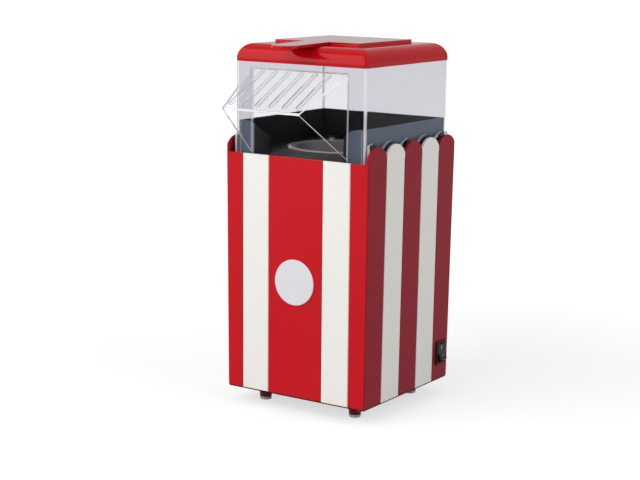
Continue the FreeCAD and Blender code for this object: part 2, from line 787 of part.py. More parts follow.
def make_tray():
    half_w, half_d, wall = TRAY_HALF_W, TRAY_HALF_D, S.tray_wall
    low, floor, thick = TRAY_LEVEL, TRAY_FLOOR, S.tray_floor_thick
    flange_w = (HALF_W - S.house_wall - FLANGE_GAP) * 2
    flange_d = (HALF_D - S.house_wall - FLANGE_GAP) * 2
    rise = S.tray_drop + S.tray_wall_up
    walls = cut(box(half_w * 2, half_d * 2, rise, 0, 0, low),
                box((half_w - wall) * 2, (half_d - wall) * 2, rise + 2, 0, 0, low - 1))
    flange = cut(box(flange_w, flange_d, S.tray_flange, 0, 0, low),
                 box((half_w - wall) * 2, (half_d - wall) * 2, S.tray_flange + 2, 0, 0, low - 1))
    mouth = S.chute_half * 2
    mouth_cut = box(mouth, 20, rise + 2, 0, -(half_d + 1), low - 1)
    guides = [chute_guide(side, low, rise) for side in (-1, 1)]
    corners = [corner_round(side, low + rise) for side in (-1, 1)]
    sides = cut(fuse(cut(fuse(walls, flange), mouth_cut), *guides), *corners)
    deck = box(half_w * 2 - wall, half_d + S.ramp_start - wall / 2, thick, 0,
               (half_d - wall / 2 - S.ramp_start) / 2, floor - thick)
    wings = [box(half_w - wall / 2 - S.chute_half, half_d - wall / 2 - S.ramp_start + 1, thick,
                 (half_w - wall / 2 + S.chute_half) / 2 * side,
                 -(half_d - wall / 2 + S.ramp_start - 1) / 2, floor - thick) for side in (-1, 1)]
    lip = HALF_D - S.house_wall - FLANGE_GAP
    lip_level = RIM - 0.2
    ramp = prism([(-S.ramp_start, floor), (-lip, lip_level), (-lip, low), (-(lip - 2.5), low),
                  (-(lip - 2.5), lip_level - thick), (-S.ramp_start, floor - thick)], mouth + 1)
    apron_half = S.chute_half - S.awning_wall - S.tray_gap
    trims = [box(10, 10, rise, (apron_half + 5) * side, -(half_d + 5), low - 1) for side in (-1, 1)]
    ramp = cut(ramp, *trims)
    bosses = []
    holes = [rod(S.chamber_radius + 0.6, thick + 2, 0, 0, floor - thick - 1),
             rod(S.chamber_flange + 0.3, 3, 0, 0, floor - S.chamber_wall)]
    for corner in CORNERS:
        x, y = tray_screw_place(corner)
        bosses.append(rod(3.5, floor - low, x, y, low))
        holes.append(rod(S.screw_radius, 9, x, y, low - 1))
    for angle in DIAGONALS:
        x, y = around(chamber_screw_radius(), angle)
        bosses.append(rod(3, 3 + thick, x, y, floor - thick - 3))
        holes.append(rod(S.screw_radius, 9, x, y, floor - 6))
    solid = fuse(sides, deck, *wings, ramp, *bosses)
    clear = rod(S.chamber_radius + 0.6, 12, 0, 0, floor - 10)
    named("chute_tray", cut(solid, *holes, clear))
    named("tray_screws", group([screw(*tray_screw_place(c), low - S.ledge_thick, S.ledge_thick + 7)
                                for c in CORNERS]))


def chute_guide(side, low, rise):
    """A quarter-round wall that leads from the tray's front wall back into the tray."""
    outer = S.guide_radius
    x, y = S.chute_half * side, -(TRAY_HALF_D - outer)
    tube = cut(rod(outer, rise, x, y, low), rod(outer - S.tray_wall, rise + 2, x, y, low - 1))
    quarter = box(outer, outer, rise, x - outer * (side / 2), y - outer / 2, low)
    return common(tube, quarter)


def corner_round(side, top):
    """What is taken off the guide's top so that it falls away towards the chute in a round."""
    radius = S.guide_round
    middle = (S.chute_half + S.guide_fall) * side
    start = -(TRAY_HALF_D + 1)
    deep = S.guide_radius + 2
    square = box(radius + 1, deep, radius + 1, middle - (radius + 1) * (side / 2), start + deep / 2, top - radius)
    return cut(square, rod(radius, deep + 2, middle, start - 1, top - radius, "y"))


def awning_wedge(inset, root_low, lip_low, lip_high, extra):
    """The awning's outer or inner form: a block that narrows from the hood to the lip."""
    root, lip = S.hood_d / 2, S.hood_d / 2 + S.awning_out
    root_half = S.chute_half - inset
    lip_half = S.awning_lip_half - inset
    wedge = DOC.addObject("Part::Wedge", "awning")
    drive(wedge, Ymin=root - extra, Ymax=lip, Xmin=-root_half, Xmax=root_half, X2min=-lip_half, X2max=lip_half,
          Zmin=root_low, Zmax=RIM + S.awning_root_up - inset, Z2min=lip_low, Z2max=lip_high)
    return place(wedge, turn=Rotation(Vector(0, 0, 1), 180))


def make_hood():
    low = TRAY_LEVEL + S.tray_flange
    half_w, half_d, wall = S.hood_w / 2, S.hood_d / 2, S.hood_wall
    tube = cut(rounded(box(S.hood_w, S.hood_d, CAP_LEVEL - low, 0, 0, low), S.hood_corner, is_upright),
               box(S.hood_w - wall * 2, S.hood_d - wall * 2, CAP_LEVEL - low + 2, 0, 0, low - 1))
    tongue_w = (half_w - S.cap_wall - S.seat_gap) * 2
    tongue_d = (half_d - S.cap_wall - S.seat_gap) * 2
    shelf = cut(box(S.hood_w - 1, S.hood_d - 1, wall, 0, 0, CAP_LEVEL - wall),
                box(tongue_w - wall * 2, tongue_d - wall * 2, wall + 2, 0, 0, CAP_LEVEL - wall - 1))
    tongue = cut(rounded(box(tongue_w, tongue_d, S.tongue_rise + 1, 0, 0, CAP_LEVEL - 1), S.hood_corner - 0.5,
                         is_short_upright),
                 box(tongue_w - wall * 2, tongue_d - wall * 2, S.tongue_rise + 3, 0, 0, CAP_LEVEL - 2))
    pad_out = half_w + S.pad_proud
    pads = scallops(pad_out, half_w - 0.5, S.lobe_radius + S.pad_over, is_upright)
    strip = box(S.pad_proud + 0.5, S.hood_d - S.hood_corner * 2, RIM - low + 1, 0, 0, low)
    place(strip, half_w - 0.5, -(S.hood_d / 2 - S.hood_corner), low)
    other = box(S.pad_proud + 0.5, S.hood_d - S.hood_corner * 2, RIM - low + 1, 0, 0, low)
    place(other, -(half_w + S.pad_proud), -(S.hood_d / 2 - S.hood_corner), low)
    trimmed = common(pads, box(S.house_w, S.hood_d - S.hood_corner * 2, 80, 0, 0, RIM - 1))
    mouth = box((S.chute_half - S.awning_wall) * 2, 20, RIM + S.awning_root_up - S.awning_wall - low + 1, 0,
                -half_d, low - 1)
    body = cut(fuse(tube, shelf, tongue, trimmed, strip, other), mouth)

    lip_top = RIM + S.awning_lip_up
    lip_low = lip_top - S.awning_wall
    outer = awning_wedge(0, RIM + 1, lip_low, lip_top, 0)
    inner = awning_wedge(S.awning_wall, RIM - 20, lip_low - 22, lip_low, OVERLAP)
    named("clear_hood", fuse(body, cut(outer, inner), *awning_ribs(lip_top)))


def awning_ribs(lip_top):
    """Raised bars that run down the awning's slope."""
    root_top = RIM + S.awning_root_up
    ribs = []
    count = int(S.rib_count.value)
    half = S.rib_width / 2
    start, end = 0.07, 0.95
    for index in range(count):
        across = S.rib_pitch * (index - (count - 1) / 2)
        tops = [root_top * (1 - along) + lip_top * along for along in (start, end)]
        wedge = DOC.addObject("Part::Wedge", "rib")
        root = S.hood_d / 2
        drive(wedge, Ymin=root + S.awning_out * start, Ymax=root + S.awning_out * end,
              Xmin=across - half, Xmax=across + half, X2min=across - half, X2max=across + half,
              Zmin=tops[0] - 1, Zmax=tops[0] + S.rib_proud, Z2min=tops[1] - 1, Z2max=tops[1] + S.rib_proud)
        ribs.append(place(wedge, turn=Rotation(Vector(0, 0, 1), 180)))
    return ribs


def make_cap():
    block = rounded(box(S.hood_w, S.hood_d, S.cap_rise, 0, 0, CAP_LEVEL), S.hood_corner, is_upright)
    top = number(CAP_TOP)
    domed = rounded(block, S.cap_round, lambda middle, edge: abs(middle.z - top) < 0.01)
    inner_w = S.hood_w - S.cap_wall * 2
    inner_d = S.hood_d - S.cap_wall * 2
    hollow_block = rounded(box(inner_w, inner_d, S.cap_rise, 0, 0, CAP_LEVEL - S.cap_wall), S.hood_corner - 0.5,
                           is_upright)
    hollow = rounded(hollow_block, S.cap_round - S.cap_wall,
                     lambda middle, edge: abs(middle.z - top + S.cap_wall.value) < 0.01)
    fill = box(S.fill_half * 2, S.fill_half * 2, S.cap_rise * 2, 0, 0, CAP_LEVEL)
    collar = cut(box((S.fill_half + 1.5) * 2, (S.fill_half + 1.5) * 2, S.cap_rise - 1, 0, 0, CAP_LEVEL), fill)
    named("hood_cap", fuse(cut(domed, hollow, fill), collar))


def make_cup():
    """The measuring cup: its flat base is the lid, and its rim hangs in the fill opening."""
    top = CAP_TOP + S.plate_thick
    half = S.plate_half
    plate = rounded(box(half * 2, half * 2, S.plate_thick, 0, 0, CAP_TOP), 1.5, is_short_upright)
    skirt_half = S.fill_half - S.cup_gap
    skirt = cut(box(skirt_half * 2, skirt_half * 2, S.cup_depth + 1, 0, 0, CAP_TOP - S.cup_depth),
                box((skirt_half - S.cup_wall) * 2, (skirt_half - S.cup_wall) * 2, S.cup_depth + 2, 0, 0,
                    CAP_TOP - S.cup_depth - 2))
    root = half - 3
    tip = half + S.tab_out
    slope = prism([(-root, top), (-half, top), (-tip, top - S.tab_fall), (-tip, top - S.tab_fall - S.tab_thick),
                   (-half, top - S.tab_thick), (-root, top - S.tab_thick)], S.tab_half * 2)
    centre = tip - S.tab_half
    outline = fuse(rod(S.tab_half, 12, 0, -centre, top - 8),
                   box(S.tab_half * 2, centre - root, 12, 0, -(centre + root) / 2, top - 8))
    named("measuring_cup", fuse(plate, skirt, common(slope, outline)))


# ---------------------------------------------------------------- rectifier board


def make_board():
    x, low = board_x(), BASE_TOP + S.board_stand
    named("rectifier_board", box(S.board_w, S.board_long, S.board_thick, x, 0, low))
    radius, long = S.diode_radius, S.diode_long
    diodes = [rod(radius, long, x - long / 2, S.board_long * (index - 1.5) / 4, low + S.board_thick + radius, "x")
              for index in range(4)]
    named("rectifier_diodes", group(diodes))


def main():
    make_housing()
    make_base()
    make_badge()
    make_switch()
    make_gland()
    make_motor()
    make_fan()
    make_heater()
    make_chamber()
    make_tray()
    make_hood()
    make_cap()
    make_cup()
    make_board()
    DOC.recompute()

    failed = [thing.Label for thing in DOC.Objects if {"Invalid", "Error"} & set(thing.State)]
    if failed:
        raise RuntimeError(f"objects that failed: {failed}")
    os.makedirs("parts", exist_ok=True)
    for piece in PIECES:
        if piece.Shape.isNull() or not piece.Shape.isValid():
            raise RuntimeError(f"{piece.Label} has a bad shape")
    for piece in PIECES:
        piece.Shape.exportStep(f"parts/{piece.Label}.step")
        print(piece.Label, len(piece.Shape.Solids), round(piece.Shape.Volume, 1))


main()
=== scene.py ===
"""Looks of a countertop hot-air popcorn maker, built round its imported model."""

import json
import logging
import math
from dataclasses import dataclass, field
from enum import Enum
from typing import Callable, Protocol

import bmesh
import bpy
from mathutils import Matrix, Vector

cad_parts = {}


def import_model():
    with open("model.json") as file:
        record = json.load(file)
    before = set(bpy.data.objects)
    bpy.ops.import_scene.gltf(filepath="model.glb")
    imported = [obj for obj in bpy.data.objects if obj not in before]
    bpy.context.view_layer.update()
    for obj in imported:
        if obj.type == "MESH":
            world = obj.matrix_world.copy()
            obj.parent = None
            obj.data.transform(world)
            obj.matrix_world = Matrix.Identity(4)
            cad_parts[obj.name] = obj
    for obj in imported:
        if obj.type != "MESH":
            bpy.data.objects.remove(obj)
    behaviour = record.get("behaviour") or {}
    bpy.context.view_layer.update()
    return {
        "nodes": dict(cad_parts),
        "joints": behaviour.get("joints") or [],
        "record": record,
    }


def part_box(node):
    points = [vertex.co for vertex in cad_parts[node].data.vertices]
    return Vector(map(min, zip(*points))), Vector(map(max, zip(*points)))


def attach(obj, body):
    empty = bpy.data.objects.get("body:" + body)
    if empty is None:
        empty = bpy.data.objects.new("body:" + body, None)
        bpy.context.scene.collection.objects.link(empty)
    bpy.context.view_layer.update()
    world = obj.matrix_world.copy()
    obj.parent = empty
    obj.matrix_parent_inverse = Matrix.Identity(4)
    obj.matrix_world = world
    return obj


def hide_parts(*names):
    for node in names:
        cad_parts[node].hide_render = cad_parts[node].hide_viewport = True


LOG = logging.getLogger("popcorn_maker")
MM = 0.001
TRAY_IN = 4.5  # from the hood's outside to the inside of the tray's walls, in millimetres
SQUARE = 0.9  # a face whose normal holds this much of an axis faces along it
LEANING = 0.5  # a face whose normal holds this much of an axis leans towards it
MERGED = 1e-6  # points nearer to each other than this, in metres, are one
FLAT, ROUNDED, SHARP = 0.5, 30.0, 35.0  # angles in degrees: of one face, of one curve, of an edge to ease
FACE_WEIGHT = 80  # how far large faces lead the shading of their rounds, from 50 for not at all
NOISE_LOW, NOISE_HIGH = 0.3, 0.7  # what nearly all of a noise lies between

Point = tuple[float, float, float]
Colour = tuple[float, float, float]


class Side(Enum):
    """The two sides of the popcorn maker."""

    LEFT = -1
    RIGHT = 1


class SwitchMark(Enum):
    """The two signs on the rocker."""

    ON = "I"
    OFF = "O"


# ---------------------------------------------------------------- modelling by operators


def start_clean() -> None:
    """Leave edit mode and deselect everything, so that an operator acts on its own piece only."""
    if bpy.context.object and bpy.context.object.mode != "OBJECT":
        bpy.ops.object.mode_set(mode="OBJECT")
    bpy.ops.object.select_all(action="DESELECT")


def make_active(piece: bpy.types.Object) -> None:
    """Select one piece alone and make it the active one.

    Args:
        piece: The piece that the next operator acts on.
    """
    start_clean()
    piece.select_set(True)
    bpy.context.view_layer.objects.active = piece


def settle(piece: bpy.types.Object, name: str) -> bpy.types.Object:
    """Name a new piece and move its place into its mesh.

    Args:
        piece: The piece that was just added.
        name: Its new name.

    Returns:
        The same piece, with its object at the origin, unturned and unscaled.
    """
    piece.name = name
    piece.data.name = name
    make_active(piece)
    bpy.ops.object.transform_apply(location=True, rotation=True, scale=True)
    return piece


def block(name: str, low: Point, high: Point) -> bpy.types.Object:
    """A cube primitive at its size and place.

    Args:
        name: Name of the piece.
        low: Lowest corner in metres.
        high: Highest corner in metres.

    Returns:
        The new piece.
    """
    start_clean()
    middle = [(a + b) / 2 for a, b in zip(low, high)]
    bpy.ops.mesh.primitive_cube_add(size=1, location=middle)
    piece = bpy.context.object
    piece.scale = [b - a for a, b in zip(low, high)]
    return settle(piece, name)


def disc(name: str, radius: float, depth: float, middle: Point, turn: Point = (0, 0, 0),
         sides: int = 64) -> bpy.types.Object:
    """A cylinder primitive at its size and place.

    Args:
        name: Name of the piece.
        radius: Radius in metres.
        depth: Length along its axis.
        middle: Its centre.
        turn: Euler turn in radians.
        sides: Number of sides.

    Returns:
        The new piece.
    """
    start_clean()
    bpy.ops.mesh.primitive_cylinder_add(vertices=sides, radius=radius, depth=depth, location=middle,
                                        rotation=turn)
    return settle(bpy.context.object, name)


def choose(piece: bpy.types.Object, kind: str, test: Callable) -> int:
    """Open a piece in edit mode with only the chosen elements selected.

    Args:
        piece: The piece to edit.
        kind: VERT, EDGE or FACE.
        test: Says whether a bmesh element is chosen.

    Returns:
        How many were chosen.
    """
    make_active(piece)
    bpy.ops.object.mode_set(mode="EDIT")
    bpy.ops.mesh.select_mode(type=kind)
    bpy.ops.mesh.select_all(action="DESELECT")
    mesh = bmesh.from_edit_mesh(piece.data)
    elements = {"VERT": mesh.verts, "EDGE": mesh.edges, "FACE": mesh.faces}[kind]
    chosen = [element for element in elements if test(element)]
    for element in chosen:
        element.select_set(True)
    bmesh.update_edit_mesh(piece.data)
    return len(chosen)


def span(edge: bmesh.types.BMEdge, axis: int) -> float:
    """How far an edge reaches along an axis, in metres."""
    return abs(edge.verts[0].co[axis] - edge.verts[1].co[axis])


def slice_mesh(piece: bpy.types.Object, at: Point, normal: Point, test: Callable) -> None:
    """Cut the chosen faces of a piece along a plane."""
    choose(piece, "FACE", test)
    bpy.ops.mesh.bisect(plane_co=at, plane_no=normal)


def delete_faces(piece: bpy.types.Object, test: Callable) -> None:
    """Take away the chosen faces."""
    if choose(piece, "FACE", test):
        bpy.ops.mesh.delete(type="FACE")


def bevel_edges(piece: bpy.types.Object, width: float, steps: int, test: Callable) -> None:
    """Round the edges of a piece that pass the test.

    Args:
        piece: The piece to round.
        width: Width of the round in metres.
        steps: Segments across the round.
        test: Says whether an edge is rounded.
    """
    if choose(piece, "EDGE", test):
        bpy.ops.mesh.bevel(offset=width, segments=steps, profile=0.5)
    start_clean()


def apply_modifier(piece: bpy.types.Object, kind: str, **values: object) -> None:
    """Add one modifier, set its values and apply it.

    Args:
        piece: The piece that takes it.
        kind: The modifier's type.
        **values: Its settings.
    """
    make_active(piece)
    modifier = piece.modifiers.new(kind.lower(), kind)
    for key, value in values.items():
        setattr(modifier, key, value)
    bpy.ops.object.modifier_apply(modifier=modifier.name)


def ease_edges(piece: bpy.types.Object, width: float, steps: int = 2, material: int = -1) -> None:
    """Give every sharp edge of a piece a small round.

    Args:
        piece: The piece to ease.
        width: Width of the round in metres.
        steps: Segments across the round.
        material: Slot that the new faces take, or -1 to keep their neighbours'.
    """
    apply_modifier(piece, "BEVEL", width=width, segments=steps, limit_method="ANGLE",
                   angle_limit=math.radians(SHARP), use_clamp_overlap=True, material=material)


def smooth(piece: bpy.types.Object) -> None:
    """Shade a piece smooth, with its sharp edges kept and its flat faces shaded flat up to their rounds.

    Args:
        piece: The finished piece.
    """
    make_active(piece)
    bpy.ops.object.shade_smooth_by_angle(angle=math.radians(ROUNDED))
    apply_modifier(piece, "WEIGHTED_NORMAL", keep_sharp=True, weight=FACE_WEIGHT)


def shift_chosen(piece: bpy.types.Object, test: Callable, by: Point, grow: Point = (1, 1, 1)) -> None:
    """Move, and scale about the origin, the points that pass the test.

    Args:
        piece: The piece to shape.
        test: Says whether a point moves.
        by: How far they move, in metres.
        grow: How much they are scaled first.
    """
    choose(piece, "VERT", test)
    bpy.ops.transform.resize(value=grow, center_override=(0, 0, 0))
    bpy.ops.transform.translate(value=by)
    start_clean()


def combine(piece: bpy.types.Object, other: bpy.types.Object, operation: str) -> None:
    """Unite a closed piece with another, or cut it by it, and take the other away."""
    apply_modifier(piece, "BOOLEAN", operation=operation, object=other, solver="EXACT")
    bpy.data.objects.remove(other)


def join(name: str, pieces: list[bpy.types.Object]) -> bpy.types.Object:
    """Join several meshes into one piece.

    Args:
        name: Name of the joined piece.
        pieces: The pieces, of which the first takes up the rest.

    Returns:
        The joined piece.
    """
    start_clean()
    for piece in pieces:
        piece.select_set(True)
    bpy.context.view_layer.objects.active = pieces[0]
    bpy.ops.object.join()
    pieces[0].name = name
    return pieces[0]


# ---------------------------------------------------------------- finishes


class Shader:
    """A material's node tree, with short calls for the nodes that the finishes share."""

    def __init__(self, name: str) -> None:
        """Start an empty principled material."""
        self.material = bpy.data.materials.new(name)
        self.material.use_nodes = True
        self.tree = self.material.node_tree
        self.surface = self.tree.nodes["Principled BSDF"]
        self.place = self.tree.nodes.new("ShaderNodeTexCoord").outputs["Object"]

    def node(self, kind: str, **values: object) -> bpy.types.Node:
        """Add a node and set its properties.

        Args:
            kind: The node's type.
            **values: Its properties.

        Returns:
            The new node.
        """
        made = self.tree.nodes.new(kind)
        for key, value in values.items():
            setattr(made, key, value)
        return made

    def link(self, source: bpy.types.NodeSocket, target: bpy.types.NodeSocket) -> None:
        """Join two sockets."""
        self.tree.links.new(source, target)

    def put(self, **values: object) -> None:
        """Set the principled shader's own sockets, written with underscores for spaces."""
        for key, value in values.items():
            self.surface.inputs[key.replace("_", " ")].default_value = value

    def maths(self, operation: str, first: object, second: object = 0.0) -> bpy.types.NodeSocket:
        """A math node on sockets or numbers.

        Args:
            operation: What it does.
            first: Its first socket or number.
            second: Its second one, where it takes two.

        Returns:
            The result.
        """
        made = self.node("ShaderNodeMath", operation=operation)
        for index, value in enumerate((first, second)):
            if isinstance(value, bpy.types.NodeSocket):
                self.link(value, made.inputs[index])
            else:
                made.inputs[index].default_value = value
        return made.outputs[0]

    def noise(self, scale: float, detail: float = 3.0, stretch: Point = (1, 1, 1)) -> bpy.types.NodeSocket:
        """Noise on object coordinates.

        Args:
            scale: Features in a metre.
            detail: Octaves.
            stretch: How much finer it is along each axis.

        Returns:
            The noise, from 0 to 1.
        """
        mapping = self.node("ShaderNodeMapping")
        mapping.inputs["Scale"].default_value = stretch
        self.link(self.place, mapping.inputs["Vector"])
        made = self.node("ShaderNodeTexNoise")
        made.inputs["Scale"].default_value = scale
        made.inputs["Detail"].default_value = detail
        self.link(mapping.outputs["Vector"], made.inputs["Vector"])
        return made.outputs["Fac"]

    def between(self, value: bpy.types.NodeSocket, low: float, high: float) -> bpy.types.NodeSocket:
        """A noise, spread from a low to a high end.

        Args:
            value: The noise.
            low: What its low end becomes.
            high: What its high end becomes.

        Returns:
            The spread value.
        """
        made = self.node("ShaderNodeMapRange")
        for name, end in (("From Min", NOISE_LOW), ("From Max", NOISE_HIGH), ("To Min", low), ("To Max", high)):
            made.inputs[name].default_value = end
        self.link(value, made.inputs["Value"])
        return made.outputs["Result"]

    def mix(self, share: object, first: object, second: object) -> bpy.types.NodeSocket:
        """Mix two colours.

        Args:
            share: Share of the second one, a socket or a number.
            first: The first colour or its socket.
            second: The second colour or its socket.

        Returns:
            The mixed colour.
        """
        made = self.node("ShaderNodeMix", data_type="RGBA")
        for name, value in (("Factor", share), ("A", first), ("B", second)):
            socket = [s for s in made.inputs if s.name == name and (s.type == "RGBA" or name == "Factor")][0]
            if isinstance(value, bpy.types.NodeSocket):
                self.link(value, socket)
            else:
                socket.default_value = value if name == "Factor" else (*value, 1)
        return [s for s in made.outputs if s.type == "RGBA"][0]

    def bump(self, height: bpy.types.NodeSocket, depth: float) -> None:
        """Bump the surface.

        Args:
            height: The relief, from 0 to 1.
            depth: Its full depth in metres.
        """
        made = self.node("ShaderNodeBump")
        made.inputs["Strength"].default_value = 1.0
        made.inputs["Distance"].default_value = depth
        self.link(height, made.inputs["Height"])
        self.link(made.outputs["Normal"], self.surface.inputs["Normal"])


def shaded(colour: Colour, share: float) -> Colour:
    """A colour made darker or lighter."""
    return tuple(min(1.0, part * share) for part in colour)


@dataclass(frozen=True)
class Plastic:
    """Moulded plastic: slightly uneven colour and gloss, and a fine moulded grain.

    Attributes:
        name: Name of the material.
        colour: Its colour.
        roughness: Its roughness.
        unevenness: How far its colour drifts to each side.
        grain_scale: Features of the moulded grain in a metre.
        grain_depth: Depth of the grain in metres.
        specular: Strength of the reflection under the lacquer.
        lacquer: Weight of a clear lacquer over it.
    """

    name: str
    colour: Colour
    roughness: float = 0.35
    unevenness: float = 0.06
    grain_scale: float = 1500.0
    grain_depth: float = 0.00002
    specular: float = 0.5
    lacquer: float = 0.0
    lacquer_ior: float = 1.22
    lacquer_roughness: float = 0.06
    cloud_scale: float = 35.0
    gloss_scale: float = 90.0
    gloss_drift: float = 0.15

    def build(self) -> bpy.types.Material:
        """Make the material.

        Returns:
            The material.
        """
        shader = Shader(self.name)
        cloud = shader.noise(self.cloud_scale)
        dark, light = shaded(self.colour, 1 - self.unevenness), shaded(self.colour, 1 + self.unevenness)
        shader.link(shader.mix(cloud, dark, light), shader.surface.inputs["Base Color"])
        gloss = shader.between(shader.noise(self.gloss_scale), self.roughness * (1 - self.gloss_drift),
                               self.roughness * (1 + self.gloss_drift))
        shader.link(gloss, shader.surface.inputs["Roughness"])
        shader.put(Specular_IOR_Level=self.specular, Coat_Weight=self.lacquer, Coat_IOR=self.lacquer_ior,
                   Coat_Roughness=self.lacquer_roughness)
        shader.bump(shader.noise(self.grain_scale, 2.0), self.grain_depth)
        return shader.material


@dataclass(frozen=True)
class Metal:
    """Metal, brushed along one axis.

    Attributes:
        name: Name of the material.
        colour: Its colour.
        roughness: Its roughness.
        brush: How much finer its streaks are along each axis.
        contrast: How far colour and roughness drift in the streaks.
    """

    name: str
    colour: Colour
    roughness: float = 0.3
    brush: Point = (1.0, 1.0, 30.0)
    contrast: float = 0.15
    streak_scale: float = 220.0
    streak_depth: float = 0.00004

    def build(self) -> bpy.types.Material:
        """Make the material.

        Returns:
            The material.
        """
        shader = Shader(self.name)
        streaks = shader.noise(self.streak_scale, 4.0, self.brush)
        dark, light = shaded(self.colour, 1 - self.contrast), shaded(self.colour, 1 + self.contrast)
        shader.link(shader.mix(streaks, dark, light), shader.surface.inputs["Base Color"])
        shader.link(shader.between(streaks, self.roughness * (1 - self.contrast * 2),
                                   self.roughness * (1 + self.contrast * 2)),
                    shader.surface.inputs["Roughness"])
        shader.put(Metallic=1.0)
        shader.bump(streaks, self.streak_depth * self.contrast)
        return shader.material


@dataclass(frozen=True)
class StripedPaint:
    """Satin paint in upright stripes that meet in the housing's fine grooves, its reds painted darker on the sides
    as shade.

    The front and back have a middle stripe between two pale ones. The sides have five stripes of one width.

    Attributes:
        name: Name of the material.
        red: The darker stripes' colour on the front and back.
        side_shade_red: The reds' colour on the sides, painted darker as shade.
        cream: The paler stripes' colour.
        half_w: Half the housing's width.
        half_d: Half the housing's depth.
        middle: Width of the front's middle stripe in millimetres.
        pale: Width of a pale stripe beside it.
        roughness: Its roughness.
        specular: Strength of the clear reflection.
        frontal: How far out, as a share of the half depth, the front's and back's stripes begin.
        red_drift: How far the reds drift to each side.
        cream_drift: The cream's lowest and highest share of its colour.
        gloss_drift: How far the roughness drifts to each side.
        side_stripes: Number of stripes on a side.
    """

    name: str
    red: Colour
    side_shade_red: Colour
    cream: Colour
    half_w: float
    half_d: float
    middle: float = 54.6
    pale: float = 26.6
    roughness: float = 0.34
    specular: float = 0.1
    frontal: float = 0.9
    cloud_scale: float = 14.0
    gloss_scale: float = 60.0
    grain_scale: float = 700.0
    grain_depth: float = 0.00001
    red_drift: float = 0.04
    cream_drift: tuple[float, float] = (0.985, 1.01)
    gloss_drift: float = 0.1
    side_stripes: int = 5

    def band(self, shader: Shader, along: bpy.types.NodeSocket, low: float,
             high: float) -> bpy.types.NodeSocket:
        """A pair of stripes, one on each side of the middle.

        Args:
            shader: The material's nodes.
            along: The coordinate across the stripes.
            low: Where they begin, from the middle, in metres.
            high: Where they end.

        Returns:
            One in the stripes, else nought.
        """
        away = shader.maths("ABSOLUTE", along)
        return shader.maths("MULTIPLY", shader.maths("GREATER_THAN", away, low),
                            shader.maths("LESS_THAN", away, high))

    def build(self) -> bpy.types.Material:
        """Make the material.

        Returns:
            The material.
        """
        shader = Shader(self.name)
        split = shader.node("ShaderNodeSeparateXYZ")
        shader.link(shader.place, split.inputs[0])
        across, deep = split.outputs["X"], split.outputs["Y"]
        inner, step_d = self.middle / 2 * MM, self.half_d * 2 / self.side_stripes
        far_across, far_deep = shader.maths("ABSOLUTE", across), shader.maths("ABSOLUTE", deep)
        front = shader.maths("MULTIPLY", self.band(shader, across, inner, inner + self.pale * MM),
                             shader.maths("GREATER_THAN", far_deep, self.half_d * self.frontal))
        on_side = shader.maths("GREATER_THAN", shader.maths("SUBTRACT", far_across, far_deep),
                               self.half_w - self.half_d)
        side = shader.maths("MULTIPLY", self.band(shader, deep, step_d / 2, step_d * 1.5), on_side)
        cream_here = shader.maths("MAXIMUM", front, side)
        cloud = shader.noise(self.cloud_scale)
        # The sides take a darker red than the front and back: painted shade.
        front_and_side_shade_reds = [shader.mix(cloud, shaded(colour, 1 - self.red_drift), shaded(colour, 1 + self.red_drift))
                for colour in (self.red, self.side_shade_red)]
        cream = shader.mix(cloud, *[shaded(self.cream, share) for share in self.cream_drift])
        colour = shader.mix(cream_here, shader.mix(on_side, *front_and_side_shade_reds), cream)
        shader.link(colour, shader.surface.inputs["Base Color"])
        gloss = shader.between(shader.noise(self.gloss_scale), self.roughness * (1 - self.gloss_drift),
                               self.roughness * (1 + self.gloss_drift))
        shader.link(gloss, shader.surface.inputs["Roughness"])
        shader.put(Specular_IOR_Level=self.specular)
        shader.bump(shader.noise(self.grain_scale, 2.0), self.grain_depth)
        return shader.material


@dataclass(frozen=True)
class TrayPlastic:
    """Slate plastic walls round a deck, with a dark colour painted on the deck and inside the walls as shade.

    Attributes:
        name: Name of the material.
        wall: The walls' colour.
        deck: The painted shade's colour on the deck and the walls' insides.
        inside: Half the width and half the depth inside the walls.
        top: Height of the walls' tops.
        chute: Half the width of the chute, where the painted shade reaches the front.
        past: How far past the walls' insides the painted shade goes, in millimetres.
        short: How far below the walls' tops it ends.
        wall_drift: How far the walls' colour drifts to each side.
        deck_drift: How far the painted shade's colour drifts.
        roughness: The lowest and highest roughness.
        specular: Strength of the reflection.
    """

    name: str
    wall: Colour
    deck: Colour
    inside: tuple[float, float]
    top: float
    chute: float = 0.047
    past: float = 0.2
    short: float = 0.3
    wall_drift: float = 0.07
    deck_drift: float = 0.15
    roughness: tuple[float, float] = (0.4, 0.52)
    specular: float = 0.12
    cloud_scale: float = 40.0
    gloss_scale: float = 90.0
    grain_scale: float = 1400.0
    grain_depth: float = 0.00002

    def build(self) -> bpy.types.Material:
        """Make the material.

        Returns:
            The material.
        """
        shader = Shader(self.name)
        split = shader.node("ShaderNodeSeparateXYZ")
        shader.link(shader.place, split.inputs[0])
        far = {axis: shader.maths("ABSOLUTE", split.outputs[axis]) for axis in "XY"}
        # Near-black painted shade on the deck and inside the walls, up to just below their tops.
        within = [shader.maths("LESS_THAN", far[axis], limit + self.past * MM)
                  for axis, limit in zip("XY", self.inside)]
        on_chute = shader.maths("MULTIPLY", shader.maths("LESS_THAN", split.outputs["Y"], 0.0),
                                shader.maths("LESS_THAN", far["X"], self.chute))
        below_top = shader.maths("LESS_THAN", split.outputs["Z"], self.top - self.short * MM)
        painted_shade_inside = shader.maths("MULTIPLY", below_top,
                              shader.maths("MAXIMUM", on_chute, shader.maths("MULTIPLY", *within)))
        cloud = shader.noise(self.cloud_scale)
        wall, deck = [shader.mix(cloud, shaded(colour, 1 - drift), shaded(colour, 1 + drift))
                      for colour, drift in ((self.wall, self.wall_drift), (self.deck, self.deck_drift))]
        shader.link(shader.mix(painted_shade_inside, wall, deck), shader.surface.inputs["Base Color"])
        gloss = shader.between(shader.noise(self.gloss_scale), *self.roughness)
        shader.link(gloss, shader.surface.inputs["Roughness"])
        shader.put(Specular_IOR_Level=self.specular)
        shader.bump(shader.noise(self.grain_scale, 2.0), self.grain_depth)
        return shader.material


